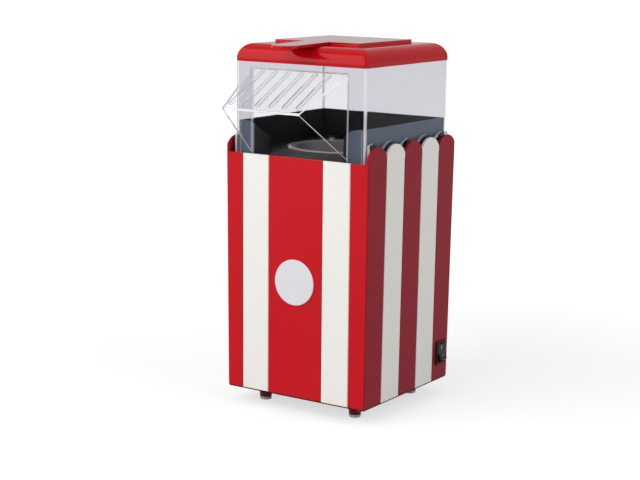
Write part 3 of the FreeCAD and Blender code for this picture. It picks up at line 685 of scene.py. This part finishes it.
@dataclass(frozen=True)
class ClearPlastic:
    """Water-clear styrene with a faint cool tint and fine hairline wear.

    Attributes:
        name: Name of the material.
        tint: Colour of what comes through it.
        roughness: Its roughness.
        ior: How much it bends light, low where its walls are thin.
        wear_tint: Share of the tint that the worn places keep.
        wear_gloss: How far the roughness drifts to each side.
    """

    name: str
    tint: Colour
    roughness: float = 0.02
    ior: float = 1.1
    wear_scale: float = 300.0
    wear_stretch: Point = (1.0, 1.0, 6.0)
    wear_tint: float = 0.98
    wear_gloss: float = 0.4

    def build(self) -> bpy.types.Material:
        """Make the material.

        Returns:
            The material.
        """
        shader = Shader(self.name)
        wear = shader.noise(self.wear_scale, 5.0, self.wear_stretch)
        worn = shaded(self.tint, self.wear_tint)
        shader.link(shader.mix(wear, worn, self.tint), shader.surface.inputs["Base Color"])
        gloss = shader.between(wear, self.roughness * (1 - self.wear_gloss), self.roughness * (1 + self.wear_gloss))
        shader.link(gloss, shader.surface.inputs["Roughness"])
        shader.put(Transmission_Weight=1.0, IOR=self.ior)
        return shader.material


@dataclass(frozen=True)
class PaintedEdgeHighlight:
    """The moulding's rounded edges, given a whiter, less clear finish as a painted highlight.

    Attributes:
        name: Name of the material.
        tint: Its colour.
        through: Share of the light that still comes through.
        ior: How much it bends light.
        roughness: Its lowest and highest roughness.
        gleam_dim: Share of its colour that the dimmest places keep.
    """

    name: str
    tint: Colour
    through: float = 0.45
    ior: float = 1.3
    roughness: tuple[float, float] = (0.12, 0.22)
    gleam_scale: float = 160.0
    gleam_dim: float = 0.94

    def build(self) -> bpy.types.Material:
        """Make the material.

        Returns:
            The material.
        """
        shader = Shader(self.name)
        gleam = shader.noise(self.gleam_scale, 2.0)
        dim = shaded(self.tint, self.gleam_dim)
        shader.link(shader.mix(gleam, dim, self.tint), shader.surface.inputs["Base Color"])
        shader.link(shader.between(gleam, *self.roughness), shader.surface.inputs["Roughness"])
        shader.put(Transmission_Weight=self.through, IOR=self.ior)
        return shader.material


class Finish(Protocol):
    """Anything that can build a material."""

    def build(self) -> bpy.types.Material:
        """Make and return the material."""


@dataclass
class FinishShelf:
    """Every finish of the popcorn maker, by the record's slot that it stands for.

    Attributes:
        housing_half_w: Half the housing's width in metres.
        housing_half_d: Half its depth.
        tray_inside: Half the width and half the depth inside the tray's walls.
        tray_top: Height of the tray's walls.
        made: The materials, once they are made.
    """

    housing_half_w: float
    housing_half_d: float
    tray_inside: tuple[float, float]
    tray_top: float
    made: dict[str, bpy.types.Material] = field(default_factory=dict)

    def recipes(self) -> dict[str, Finish]:
        """The finish of each slot.

        Returns:
            The finishes by slot.
        """
        steel, pale_steel = (0.50, 0.51, 0.53), (0.66, 0.66, 0.65)
        return {
            # The second red is the sides' red, painted darker as shade.
            "shell_red": StripedPaint("striped_paint", (0.60, 0.009, 0.016), (0.31, 0.012, 0.024),
                                      (0.94, 0.93, 0.88), self.housing_half_w, self.housing_half_d),
            "cap_red": Plastic("cap_red", (0.56, 0.003, 0.008), 0.14, unevenness=0.03, grain_scale=500.0,
                               grain_depth=0.000004, specular=0.02, lacquer=1.0),
            "foot_red": Plastic("foot_red", (0.13, 0.006, 0.012), 0.4, specular=0.2),
            "base_black": Plastic("base_black", (0.004, 0.004, 0.004), 0.5, specular=0.15),
            "pad_grey": Plastic("foot_pad_grey", (0.52, 0.52, 0.51), 0.6),
            "badge_white": Plastic("badge_white", (0.78, 0.78, 0.81), 0.3, unevenness=0.015),
            "switch_black": Plastic("switch_black", (0.008, 0.009, 0.009), 0.42, specular=0.2),
            "rocker_black": Plastic("rocker_black", (0.006, 0.007, 0.008), 0.2, grain_depth=0.00001,
                                    specular=0.3),
            "terminal_brass": Metal("terminal_brass", (0.66, 0.47, 0.18), 0.3),
            "gland_black": Plastic("gland_black", (0.016, 0.016, 0.016), 0.55),
            "motor_steel": Metal("motor_steel", steel, 0.32),
            "bush_bronze": Metal("bush_bronze", (0.48, 0.29, 0.12), 0.35),
            "magnet_dark": Plastic("magnet_dark", (0.03, 0.03, 0.032), 0.6),
            "armature_copper": Metal("armature_copper", (0.55, 0.22, 0.09), 0.35, brush=(40.0, 40.0, 1.0)),
            "shaft_steel": Metal("shaft_steel", pale_steel, 0.18),
            "bracket_steel": Metal("bracket_steel", steel, 0.35, brush=(1.0, 30.0, 1.0)),
            "screw_zinc": Metal("screw_zinc", pale_steel, 0.3, brush=(6.0, 6.0, 6.0)),
            "fan_plastic": Plastic("fan_plastic", (0.022, 0.022, 0.024), 0.5),
            "impeller_plastic": Plastic("impeller_plastic", (0.7, 0.7, 0.66), 0.45),
            "heater_steel": Metal("heater_steel", pale_steel, 0.34),
            "mica": Plastic("mica", (0.46, 0.37, 0.24), 0.4, unevenness=0.2),
            "heater_wire": Metal("heater_wire", (0.24, 0.22, 0.2), 0.45),
            "seal_silicone": Plastic("seal_silicone", (0.62, 0.6, 0.55), 0.6),
            "thermostat_black": Plastic("thermostat_black", (0.03, 0.026, 0.022), 0.45),
            "chamber_aluminium": Metal("chamber_aluminium", (0.5, 0.5, 0.51), 0.42, brush=(3.0, 3.0, 3.0),
                                       contrast=0.04),
            # The tray's second colour is painted shade on its deck and inside its walls.
            "tray_grey": TrayPlastic("tray_slate", (0.13, 0.16, 0.2), (0.014, 0.015, 0.017), self.tray_inside,
                                     self.tray_top),
            "hood_clear": ClearPlastic("hood_clear", (0.735, 0.735, 0.765)),
            "hood_thin": ClearPlastic("hood_thin", (0.92, 0.925, 0.935), ior=1.06),
            # A whiter, less clear finish on the hood's edges: painted highlight.
            "hood_edge": PaintedEdgeHighlight("hood_edge", (0.93, 0.93, 0.96)),
            "board_green": Plastic("board_green", (0.02, 0.14, 0.05), 0.4),
            "diode_black": Plastic("diode_black", (0.015, 0.015, 0.016), 0.4),
        }

    def build(self) -> None:
        """Make every material once."""
        self.made = {slot: recipe.build() for slot, recipe in self.recipes().items()}

    def dress(self, piece: bpy.types.Object, slot: str) -> None:
        """Put one finish on all of a piece.

        Args:
            piece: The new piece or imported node.
            slot: The record's slot that it takes its finish from.
        """
        piece.data.materials.clear()
        piece.data.materials.append(self.made[slot])
        for face in piece.data.polygons:
            face.material_index = 0


# ---------------------------------------------------------------- sub-assemblies


@dataclass
class SubAssembly:
    """Pieces that are built and dressed together.

    Attributes:
        shelf: The finishes.
        body: The body that its pieces ride on, unless a method says otherwise.
    """

    shelf: FinishShelf
    body: str = "base"

    def build(self) -> list[bpy.types.Object]:
        """Make the pieces.

        Returns:
            The new pieces.
        """
        raise NotImplementedError

    def seat(self, piece: bpy.types.Object, slot: str, *nodes: str, body: str = "") -> bpy.types.Object:
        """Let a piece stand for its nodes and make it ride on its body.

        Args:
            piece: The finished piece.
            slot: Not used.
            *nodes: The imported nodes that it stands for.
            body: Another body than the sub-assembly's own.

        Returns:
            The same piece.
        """
        if nodes:
            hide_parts(*nodes)
        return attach(piece, body or self.body)

    def eased(self, node: str, name: str, slot: str, width: float, body: str = "") -> bpy.types.Object:
        """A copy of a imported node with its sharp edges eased, dressed and seated in its place.

        Args:
            node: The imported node.
            name: Name of the copy.
            slot: The record's slot that it takes its finish from.
            width: Width of the eased edges in millimetres.
            body: Another body than the sub-assembly's own.

        Returns:
            The new piece.
        """
        source = bpy.data.objects[node]
        piece = source.copy()
        piece.data = source.data.copy()
        bpy.context.collection.objects.link(piece)
        piece.parent = None
        piece.matrix_world = Matrix.Identity(4)
        piece.name = name
        piece.data.name = name
        choose(piece, "VERT", lambda vert: True)
        bpy.ops.mesh.remove_doubles(threshold=MERGED)
        bpy.ops.mesh.select_all(action="SELECT")
        bpy.ops.mesh.dissolve_limited(angle_limit=math.radians(FLAT))
        start_clean()
        self.shelf.dress(piece, slot)
        ease_edges(piece, width * MM)
        smooth(piece)
        return self.seat(piece, slot, node, body=body)


@dataclass
class Housing(SubAssembly):
    """The striped shell with its base, its feet and the blank badge on its front. Lengths are millimetres."""

    shell_edge: float = 0.22
    base_edge: float = 0.25
    foot_edge: float = 0.3
    badge_rim: float = 1.1
    badge_crown: float = 0.25
    badge_edge: float = 0.35

    def badge(self) -> bpy.types.Object:
        """A plain disc with a raised, slightly crowned face inside a narrow rim.

        Returns:
            The disc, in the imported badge's place.
        """
        low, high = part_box("badge_disc")
        radius, depth = (high.x - low.x) / 2, high.y - low.y
        crown = self.badge_crown * MM
        middle = ((low.x + high.x) / 2, (low.y + high.y + crown) / 2, (low.z + high.z) / 2)
        piece = disc("blank_badge", radius, depth - crown, middle, turn=(math.radians(90), 0, 0), sides=96)
        choose(piece, "FACE", lambda face: face.normal.y < -SQUARE)
        bpy.ops.mesh.inset(thickness=self.badge_rim * MM)
        bpy.ops.transform.translate(value=(0, -crown, 0))
        start_clean()
        self.shelf.dress(piece, "badge_white")
        ease_edges(piece, min(self.badge_edge * MM, depth / 3), 3)
        smooth(piece)
        return self.seat(piece, "badge_white", "badge_disc")

    def build(self) -> list[bpy.types.Object]:
        """Make the shell, the base, the feet and the badge."""
        return [
            self.eased("housing_shell", "striped_housing", "shell_red", self.shell_edge),
            self.eased("base_cover", "base_plate", "base_black", self.base_edge),
            self.eased("feet", "foot_cones", "foot_red", self.foot_edge),
            self.eased("foot_pads", "rubber_pads", "pad_grey", self.foot_edge),
            self.badge(),
        ]


@dataclass
class PowerSwitch(SubAssembly):
    """The rocker switch: bezel, rocker and the two signs that ride on the rocker.

    Attributes:
        pivot: Where the rocker turns, in metres.
        swing: Half of the rocker's travel, in degrees.
        edge: Width of the eased edges. This and what follows is in millimetres.
        face_ahead: How far the rocker's face stands before its pivot.
        mark_high: Height of the bar.
        mark_wide: Width of the bar.
        mark_round: Round of the bar's edges, as a share of its width.
        mark_proud: How far both signs stand up.
        on_level: The bar's height above the pivot.
        off_level: The ring's height below it.
        ring_radius: Radius of the ring.
        ring_line: Width of its line.
    """

    pivot: Point = (0.0, 0.0, 0.0)
    swing: float = 12.0
    edge: float = 0.3
    face_ahead: float = 3.2
    mark_high: float = 3.2
    mark_wide: float = 0.7
    mark_round: float = 0.3
    mark_proud: float = 0.12
    on_level: float = 4.6
    off_level: float = 4.0
    ring_radius: float = 1.3
    ring_line: float = 0.32

    def on_mark(self) -> bpy.types.Object:
        """The upright bar on the half of the rocker that is pressed in.

        Returns:
            The bar, seated on the rocker.
        """
        high = (self.mark_proud * MM, self.mark_wide / 2 * MM, self.mark_high / 2 * MM)
        piece = block("mark_on", tuple(-part for part in high), high)
        bevel_edges(piece, self.mark_wide * self.mark_round * MM, 3, lambda edge: span(edge, 0) > 0)
        pressed = self.face_ahead * math.cos(math.radians(self.swing))
        return self.lay(piece, (pressed, 0.0, self.on_level), 0.0)

    def off_mark(self) -> bpy.types.Object:
        """The ring on the half of the rocker that stands out.

        Returns:
            The ring, seated on the rocker.
        """
        start_clean()
        bpy.ops.mesh.primitive_torus_add(major_radius=self.ring_radius * MM,
                                         minor_radius=self.ring_line / 2 * MM, major_segments=48,
                                         minor_segments=10, rotation=(0, math.radians(90), 0))
        piece = settle(bpy.context.object, "mark_off")
        shift_chosen(piece, lambda vert: True, (0, 0, 0), (self.mark_proud * 2 / self.ring_line, 1, 1))
        lean, full = math.radians(self.swing), math.radians(self.swing * 2)
        flat = self.face_ahead * math.cos(lean)
        turn_level = self.face_ahead * math.sin(lean)
        return self.lay(piece, (flat + self.off_level * math.sin(full), 0.0,
                                turn_level - self.off_level * math.cos(full)), self.swing * 2)

    def lay(self, piece: bpy.types.Object, offset: Point, turn: float) -> bpy.types.Object:
        """Lay a sign on the rocker.

        Args:
            piece: The sign, modelled about the origin and facing +X.
            offset: Its place from the pivot in millimetres.
            turn: How far it leans down, in degrees.

        Returns:
            The same piece, seated.
        """
        piece.rotation_euler = (0, math.radians(turn), 0)
        piece.location = Vector(self.pivot) + Vector(offset) * MM
        settle(piece, piece.name)
        self.shelf.dress(piece, "badge_white")
        smooth(piece)
        return self.seat(piece, "badge_white", body="rocker")

    def build(self) -> list[bpy.types.Object]:
        """Make the bezel, the rocker and the signs."""
        marks = {SwitchMark.ON: self.on_mark, SwitchMark.OFF: self.off_mark}
        return [
            self.eased("switch_housing", "switch_bezel", "switch_black", self.edge),
            self.eased("rocker", "switch_rocker", "rocker_black", self.edge, body="rocker"),
            *[marks[mark]() for mark in SwitchMark],
        ]


@dataclass
class CordInlet(SubAssembly):
    """The cord gland and its nut."""

    edge: float = 0.3

    def build(self) -> list[bpy.types.Object]:
        """Make the gland and the nut."""
        return [
            self.eased("cord_gland", "gland_bush", "gland_black", self.edge),
            self.eased("gland_nut", "gland_ring", "gland_black", self.edge),
        ]


@dataclass
class Blower(SubAssembly):
    """The fan housing and the impeller, seen through the slots."""

    edge: float = 0.25

    def build(self) -> list[bpy.types.Object]:
        """Make the fan housing and the impeller."""
        return [
            self.eased("fan_housing", "fan_drum", "fan_plastic", self.edge),
            self.eased("impeller", "fan_impeller", "impeller_plastic", self.edge, body="rotor"),
        ]


@dataclass
class PoppingUnit(SubAssembly):
    """The popping chamber and the slate tray round it."""

    tray_edge: float = 0.6
    chamber_edge: float = 0.25

    def build(self) -> list[bpy.types.Object]:
        """Make the tray and the chamber."""
        return [
            self.eased("chute_tray", "slate_tray", "tray_grey", self.tray_edge),
            self.eased("popping_chamber", "chamber_cup", "chamber_aluminium", self.chamber_edge),
        ]


@dataclass
class ClearHood(SubAssembly):
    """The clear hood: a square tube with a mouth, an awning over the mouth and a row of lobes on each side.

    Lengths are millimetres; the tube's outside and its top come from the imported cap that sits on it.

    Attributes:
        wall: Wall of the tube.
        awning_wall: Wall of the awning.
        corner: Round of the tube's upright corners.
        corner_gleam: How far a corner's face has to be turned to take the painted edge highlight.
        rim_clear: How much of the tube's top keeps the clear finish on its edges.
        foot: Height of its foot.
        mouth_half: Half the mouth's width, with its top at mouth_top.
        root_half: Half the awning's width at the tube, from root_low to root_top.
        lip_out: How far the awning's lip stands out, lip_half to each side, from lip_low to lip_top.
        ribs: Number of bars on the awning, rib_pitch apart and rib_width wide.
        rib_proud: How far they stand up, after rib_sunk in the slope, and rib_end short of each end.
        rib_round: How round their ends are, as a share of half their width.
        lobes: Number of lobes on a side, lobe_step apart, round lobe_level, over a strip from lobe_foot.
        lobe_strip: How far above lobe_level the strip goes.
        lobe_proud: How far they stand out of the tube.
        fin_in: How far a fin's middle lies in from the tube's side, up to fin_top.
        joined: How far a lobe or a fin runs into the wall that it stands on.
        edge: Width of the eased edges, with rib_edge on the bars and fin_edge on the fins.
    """

    body: str = "hood"
    wall: float = 1.8
    awning_wall: float = 1.3
    corner: float = 3.0
    corner_gleam: float = 0.42
    rim_clear: float = 1.0
    foot: float = 212.6
    mouth_half: float = 47.0
    mouth_top: float = 290.7
    root_half: float = 49.0
    root_low: float = 221.0
    root_top: float = 292.7
    lip_out: float = 54.6
    lip_half: float = 37.9
    lip_low: float = 261.5
    lip_top: float = 263.5
    ribs: int = 6
    rib_pitch: float = 13.2
    rib_width: float = 4.4
    rib_proud: float = 0.9
    rib_sunk: float = 0.3
    rib_end: float = 4.0
    rib_round: float = 0.98
    lobes: int = 5
    lobe_step: float = 28.6
    lobe_radius: float = 18.5
    lobe_level: float = 217.5
    lobe_foot: float = 214.0
    lobe_strip: float = 4.0
    lobe_proud: float = 2.3
    fin_in: float = 4.6
    fin_top: float = 246.0
    fin_thick: float = 1.0
    joined: float = 0.2
    edge: float = 0.45
    rib_edge: float = 0.315
    fin_edge: float = 0.27

    def __post_init__(self) -> None:
        """Read the tube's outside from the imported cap."""
        low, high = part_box("hood_cap")
        self.half_w, self.half_d, self.top = high.x / MM, high.y / MM, low.z / MM

    def prepare(self, piece: bpy.types.Object, width: float, slot: str = "hood_clear") -> bpy.types.Object:
        """Give a piece a clear finish, and rounded edges in the painted edge highlight.

        Args:
            piece: A closed piece.
            width: Width of its rounds in millimetres.
            slot: The clear finish that it takes.

        Returns:
            The same piece.
        """
        self.shelf.dress(piece, slot)
        piece.data.materials.append(self.shelf.made["hood_edge"])
        ease_edges(piece, width * MM, 2, material=1)
        return piece

    def tube(self) -> bpy.types.Object:
        """The square tube with its mouth cut out of the front.

        Returns:
            The tube.
        """
        w, d = self.half_w * MM, self.half_d * MM
        piece = block("hood_tube", (-w, -d, self.foot * MM), (w, d, self.top * MM))
        delete_faces(piece, lambda face: abs(face.normal.z) > SQUARE)
        bevel_edges(piece, self.corner * MM, 5, lambda edge: span(edge, 2) > self.corner * MM)
        for at, normal in (((self.mouth_half, 0, 0), (1, 0, 0)), ((-self.mouth_half, 0, 0), (1, 0, 0)),
                           ((0, 0, self.mouth_top), (0, 0, 1))):
            slice_mesh(piece, tuple(part * MM for part in at), normal, lambda face: face.normal.y < -SQUARE)
        delete_faces(piece, lambda face: face.normal.y < -SQUARE
                     and abs(face.calc_center_median().x) < self.mouth_half * MM
                     and face.calc_center_median().z < self.mouth_top * MM)
        start_clean()
        apply_modifier(piece, "SOLIDIFY", thickness=self.wall * MM, offset=-1, use_even_offset=True)
        self.prepare(piece, self.edge)
        # Faces near the top stay clear; the rounded corners take the painted edge highlight.
        for face in piece.data.polygons:
            if face.center.z > (self.top - self.rim_clear) * MM:
                face.material_index = 0
            elif min(abs(face.normal.x), abs(face.normal.y)) > self.corner_gleam:
                face.material_index = 1
        return piece

    def awning(self) -> bpy.types.Object:
        """The thin sloping roof and its two side cheeks, open below and towards the hood.

        Returns:
            The awning.
        """
        front = -self.half_d
        lip = front - self.lip_out
        piece = block("hood_awning", (-self.root_half * MM, lip * MM, self.root_low * MM),
                      (self.root_half * MM, front * MM, self.root_top * MM))
        narrow = (self.lip_half / self.root_half, 1, 1)
        middle = (self.root_low + self.root_top) / 2 * MM
        outer = (front + lip) / 2 * MM
        shift_chosen(piece, lambda vert: vert.co.y < outer and vert.co.z > middle,
                     (0, 0, (self.lip_top - self.root_top) * MM), narrow)
        shift_chosen(piece, lambda vert: vert.co.y < outer and vert.co.z < middle,
                     (0, 0, (self.lip_low - self.root_low) * MM), narrow)
        delete_faces(piece, lambda face: face.normal.y > SQUARE or face.normal.z < -LEANING)
        start_clean()
        apply_modifier(piece, "SOLIDIFY", thickness=self.awning_wall * MM, offset=-1, use_even_offset=True)
        return self.prepare(piece, self.edge, "hood_thin")

    def rib(self, across: float) -> bpy.types.Object:
        """One round-ended bar on the awning's slope.

        Args:
            across: Its distance from the middle in millimetres.

        Returns:
            The bar.
        """
        front = -self.half_d
        root = Vector((across, front, self.root_top)) * MM
        lip = Vector((across, front - self.lip_out, self.lip_top)) * MM
        long = (lip - root).length - self.rib_end * 2 * MM
        half = self.rib_width / 2 * MM
        piece = block("hood_rib", (-half, -long / 2, -self.rib_sunk * MM),
                      (half, long / 2, self.rib_proud * MM))
        bevel_edges(piece, half * self.rib_round, 6, lambda edge: span(edge, 2) > self.rib_proud / 2 * MM)
        along = (root - lip).normalized()
        up = Vector((1, 0, 0)).cross(along).normalized()
        across_axis = along.cross(up)
        turn = Matrix((across_axis, along, up)).transposed().to_4x4()
        piece.matrix_world = Matrix.Translation((root + lip) / 2) @ turn
        settle(piece, "hood_rib")
        return self.prepare(piece, self.rib_edge, "hood_thin")

    def lobe_row(self, side: Side) -> bpy.types.Object:
        """The scalloped strip that stands proud of the tube's side, just inside the housing's lobes.

        Args:
            side: The side that it is on.

        Returns:
            The strip.
        """
        inner, outer = self.half_w - self.joined, self.half_w + self.lobe_proud
        middle = (inner + outer) / 2 * side.value
        half_y = self.half_d - self.corner
        thick = outer - inner
        row = block("lobe_strip", ((middle - thick / 2) * MM, -half_y * MM, self.lobe_foot * MM),
                    ((middle + thick / 2) * MM, half_y * MM, (self.lobe_level + self.lobe_strip) * MM))
        for index in range(self.lobes):
            y = (index - (self.lobes - 1) / 2) * self.lobe_step
            lobe = disc("lobe", self.lobe_radius * MM, thick * MM,
                        (middle * MM, y * MM, self.lobe_level * MM), turn=(0, math.radians(90), 0), sides=72)
            combine(row, lobe, "UNION")
        reach = self.lobe_radius * 2
        aside = self.lobe_proud * 2
        trim = block("lobe_trim", ((middle - aside) * MM, -half_y * MM, self.lobe_foot * MM),
                     ((middle + aside) * MM, half_y * MM, (self.lobe_level + reach) * MM))
        combine(row, trim, "INTERSECT")
        self.prepare(row, self.edge)
        # The strip's rims and ends take the painted edge highlight.
        for face in row.data.polygons:
            if abs(face.normal.x) < LEANING:
                face.material_index = 1
        return row

    def fin(self, side: Side) -> bpy.types.Object:
        """An upright locating fin inside the front wall.

        Args:
            side: The side that it is on.

        Returns:
            The fin.
        """
        x = (self.half_w - self.fin_in) * side.value
        inner = -(self.half_d - self.wall)
        piece = block("hood_fin", ((x - self.fin_thick / 2) * MM, (inner - self.joined) * MM, self.foot * MM),
                      ((x + self.fin_thick / 2) * MM, (inner + self.fin_thick) * MM, self.fin_top * MM))
        return self.prepare(piece, self.fin_edge)

    def build(self) -> list[bpy.types.Object]:
        """Join the tube, the awning, its ribs, the lobes and the fins into one moulding.

        Returns:
            The moulding, alone in a list.
        """
        half = (self.ribs - 1) / 2
        shells = [self.tube(), self.awning()]
        ribs = [self.rib((index - half) * self.rib_pitch) for index in range(self.ribs)]
        rows, fins = [self.lobe_row(side) for side in Side], [self.fin(side) for side in Side]
        piece = join("clear_moulding", [*shells, *ribs, *rows, *fins])
        smooth(piece)
        return [self.seat(piece, "hood_clear", "clear_hood")]


@dataclass
class HoodCap(SubAssembly):
    """The red cap on the hood."""

    body: str = "hood"
    edge: float = 0.4

    def build(self) -> list[bpy.types.Object]:
        """Make the cap."""
        return [self.eased("hood_cap", "red_cap", "cap_red", self.edge)]


@dataclass
class MeasuringCup(SubAssembly):
    """The measuring cup that is the lid of the cap's filling hole."""

    body: str = "cup"
    edge: float = 0.45

    def build(self) -> list[bpy.types.Object]:
        """Make the cup."""
        return [self.eased("measuring_cup", "lid_cup", "cap_red", self.edge)]


@dataclass
class InnerParts:
    """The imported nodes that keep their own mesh: motor, heater, wiring and fasteners.

    Attributes:
        shelf: The finishes.
        slots: The record's slot of each node.
    """

    shelf: FinishShelf
    slots: dict[str, str]

    def dress(self, nodes: dict[str, bpy.types.Object]) -> None:
        """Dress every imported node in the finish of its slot."""
        for name, node in nodes.items():
            self.shelf.dress(node, self.slots[name])


# ---------------------------------------------------------------- studio


@dataclass(frozen=True)
class AreaLamp:
    """A square lamp that faces the popcorn maker.

    Attributes:
        name: Name of the lamp.
        place: Where it hangs, in metres.
        size: Length of its side.
        power: Its power in watts.
        aim: What it faces.
    """

    name: str
    place: Point
    size: float
    power: float
    aim: Point = (0.0, 0.0, 0.16)

    def hang(self) -> None:
        """Add the lamp to the scene."""
        lamp = bpy.data.lights.new(self.name, "AREA")
        lamp.size = self.size
        lamp.energy = self.power
        holder = bpy.data.objects.new(self.name, lamp)
        bpy.context.collection.objects.link(holder)
        holder.location = self.place
        holder.rotation_euler = (Vector(self.aim) - Vector(self.place)).to_track_quat("-Z", "Y").to_euler()


@dataclass(frozen=True)
class ThreeQuarterCamera:
    """A long lens off the front right corner, a little above the popcorn maker.

    Attributes:
        yaw: How far round to the right it stands, in degrees.
        pitch: How far up it stands.
        roll: How far it leans.
        distance: How far off it is, in metres.
        look: What it looks at.
        lens: Its focal length in millimetres.
        sensor: Width of its sensor.
    """

    yaw: float = 33.572
    pitch: float = 10.567
    roll: float = 0.753
    distance: float = 1.3976
    look: Point = (-0.02193, 0.0, 0.13799)
    lens: float = 89.15
    sensor: float = 36.0

    def place(self) -> None:
        """Add the camera and make it the scene's."""
        yaw, pitch, roll = math.radians(self.yaw), math.radians(self.pitch), math.radians(self.roll)
        back = Vector((math.sin(yaw) * math.cos(pitch), -math.cos(yaw) * math.cos(pitch), math.sin(pitch)))
        right = Vector((math.cos(yaw), math.sin(yaw), 0))
        up = back.cross(right)
        tilted_right = right * math.cos(roll) + up * math.sin(roll)
        tilted_up = up * math.cos(roll) - right * math.sin(roll)
        turn = Matrix((tilted_right, tilted_up, back)).transposed().to_4x4()
        data = bpy.data.cameras.new("camera")
        data.lens = self.lens
        data.sensor_width = self.sensor
        holder = bpy.data.objects.new("camera", data)
        bpy.context.collection.objects.link(holder)
        holder.matrix_world = Matrix.Translation(Vector(self.look) + back * self.distance) @ turn
        bpy.context.scene.camera = holder


@dataclass(frozen=True)
class Studio:
    """A white floor that keeps a soft shadow, a white surround and three soft lamps.

    Attributes:
        floor_size: Side of the floor in metres.
        floor_colour: How much light the floor gives back.
        floor_lift: Its own light near the popcorn maker, for rays that show it.
        far_lift: Its own light far away.
        near_radius: How far out the near light goes.
        far_radius: Where the far light begins.
        surround: Light of the surround on the popcorn maker.
        mirrored: Light of floor and surround in a mirror image.
        lamps: The lamps.
    """

    floor_size: float = 60.0
    floor_colour: float = 0.5
    floor_lift: float = 0.64
    far_lift: float = 1.0
    near_radius: float = 0.25
    far_radius: float = 1.2
    surround: float = 0.3
    mirrored: float = 0.55
    lamps: tuple[AreaLamp, ...] = (
        AreaLamp("key", (-0.8, -1.8, 1.2), 2.4, 43.0),
        AreaLamp("side", (1.9, 0.2, 0.9), 2.2, 17.0),
        AreaLamp("top", (0.1, 0.1, 2.2), 1.6, 3.0),
    )

    def seen_directly(self, shader: Shader) -> bpy.types.NodeSocket:
        """How much of its own light the floor shows to a ray.

        Args:
            shader: The floor's nodes.

        Returns:
            One in the view or through the hood, less in a mirror image, and nought on the popcorn maker.
        """
        path = shader.node("ShaderNodeLightPath")
        gloss = shader.maths("MULTIPLY", path.outputs["Is Glossy Ray"], self.mirrored)
        direct = shader.maths("MAXIMUM", path.outputs["Is Camera Ray"], path.outputs["Is Transmission Ray"])
        return shader.maths("MAXIMUM", direct, gloss)

    def floor(self) -> None:
        """A wide floor whose own light makes it white, less the shadow, and whiter still far away."""
        start_clean()
        bpy.ops.mesh.primitive_plane_add(size=self.floor_size, location=(0, 0, 0))
        plane = settle(bpy.context.object, "floor")
        shader = Shader("floor_white")
        grey = self.floor_colour
        shader.put(Base_Color=(grey, grey, grey, 1), Roughness=0.9, Specular_IOR_Level=0.0,
                   Emission_Color=(1, 1, 1, 1))
        away = shader.node("ShaderNodeVectorMath", operation="LENGTH")
        shader.link(shader.place, away.inputs[0])
        rise = shader.node("ShaderNodeMapRange", interpolation_type="SMOOTHSTEP")
        shader.link(away.outputs["Value"], rise.inputs["Value"])
        for name, value in (("From Min", self.near_radius), ("From Max", self.far_radius),
                            ("To Min", self.floor_lift), ("To Max", self.far_lift)):
            rise.inputs[name].default_value = value
        lift = shader.maths("MULTIPLY", self.seen_directly(shader), rise.outputs["Result"])
        shader.link(lift, shader.surface.inputs["Emission Strength"])
        plane.data.materials.append(shader.material)

    def surroundings(self) -> None:
        """A world that lights softly and looks white."""
        world = bpy.data.worlds.new("studio")
        bpy.context.scene.world = world
        world.use_nodes = True
        tree = world.node_tree
        soft = tree.nodes["Background"]
        soft.inputs["Color"].default_value = (1, 1, 1, 1)
        path = tree.nodes.new("ShaderNodeLightPath")
        seen = tree.nodes.new("ShaderNodeMath")
        seen.operation = "MAXIMUM"
        tree.links.new(path.outputs["Is Camera Ray"], seen.inputs[0])
        tree.links.new(path.outputs["Is Transmission Ray"], seen.inputs[1])
        level: bpy.types.NodeSocket | None = None
        for ray, strength in ((path.outputs["Is Glossy Ray"], self.mirrored), (seen.outputs[0], 1.0)):
            pick = tree.nodes.new("ShaderNodeMapRange")
            pick.inputs["To Min"].default_value = self.surround
            pick.inputs["To Max"].default_value = strength
            if level:
                tree.links.new(level, pick.inputs["To Min"])
            tree.links.new(ray, pick.inputs["Value"])
            level = pick.outputs["Result"]
        tree.links.new(level, soft.inputs["Strength"])

    def build(self) -> None:
        """Set the view up and add the floor, the surroundings, the lamps and the camera."""
        bpy.context.scene.view_settings.view_transform = "Standard"
        self.floor()
        self.surroundings()
        for lamp in self.lamps:
            lamp.hang()
        ThreeQuarterCamera().place()


def main() -> None:
    """Build the sub-assemblies in order, then the studio."""
    logging.basicConfig(level=logging.INFO, format="%(message)s")
    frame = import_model()
    low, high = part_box("housing_shell")
    cap_high, tray_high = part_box("hood_cap")[1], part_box("chute_tray")[1]
    inside = (cap_high.x - TRAY_IN * MM, cap_high.y - TRAY_IN * MM)
    shelf = FinishShelf(high.x, high.y, inside, tray_high.z)
    shelf.build()
    slots = {part["node"]: part["material_slot"] for part in frame["record"]["subparts"]}
    InnerParts(shelf, slots).dress(frame["nodes"])
    rocker_joint = next(joint for joint in frame["joints"] if joint["child"] == "rocker")
    assemblies = [
        Housing(shelf),
        PowerSwitch(shelf, pivot=tuple(rocker_joint["pos_m"]), swing=rocker_joint["range_deg"][1] / 2),
        CordInlet(shelf),
        Blower(shelf),
        PoppingUnit(shelf),
        ClearHood(shelf),
        HoodCap(shelf),
        MeasuringCup(shelf),
    ]
    for assembly in assemblies:
        for piece in assembly.build():
            LOG.info("%s: %s, %d faces", type(assembly).__name__, piece.name, len(piece.data.polygons))
    Studio().build()


if __name__ == "__main__":
    main()
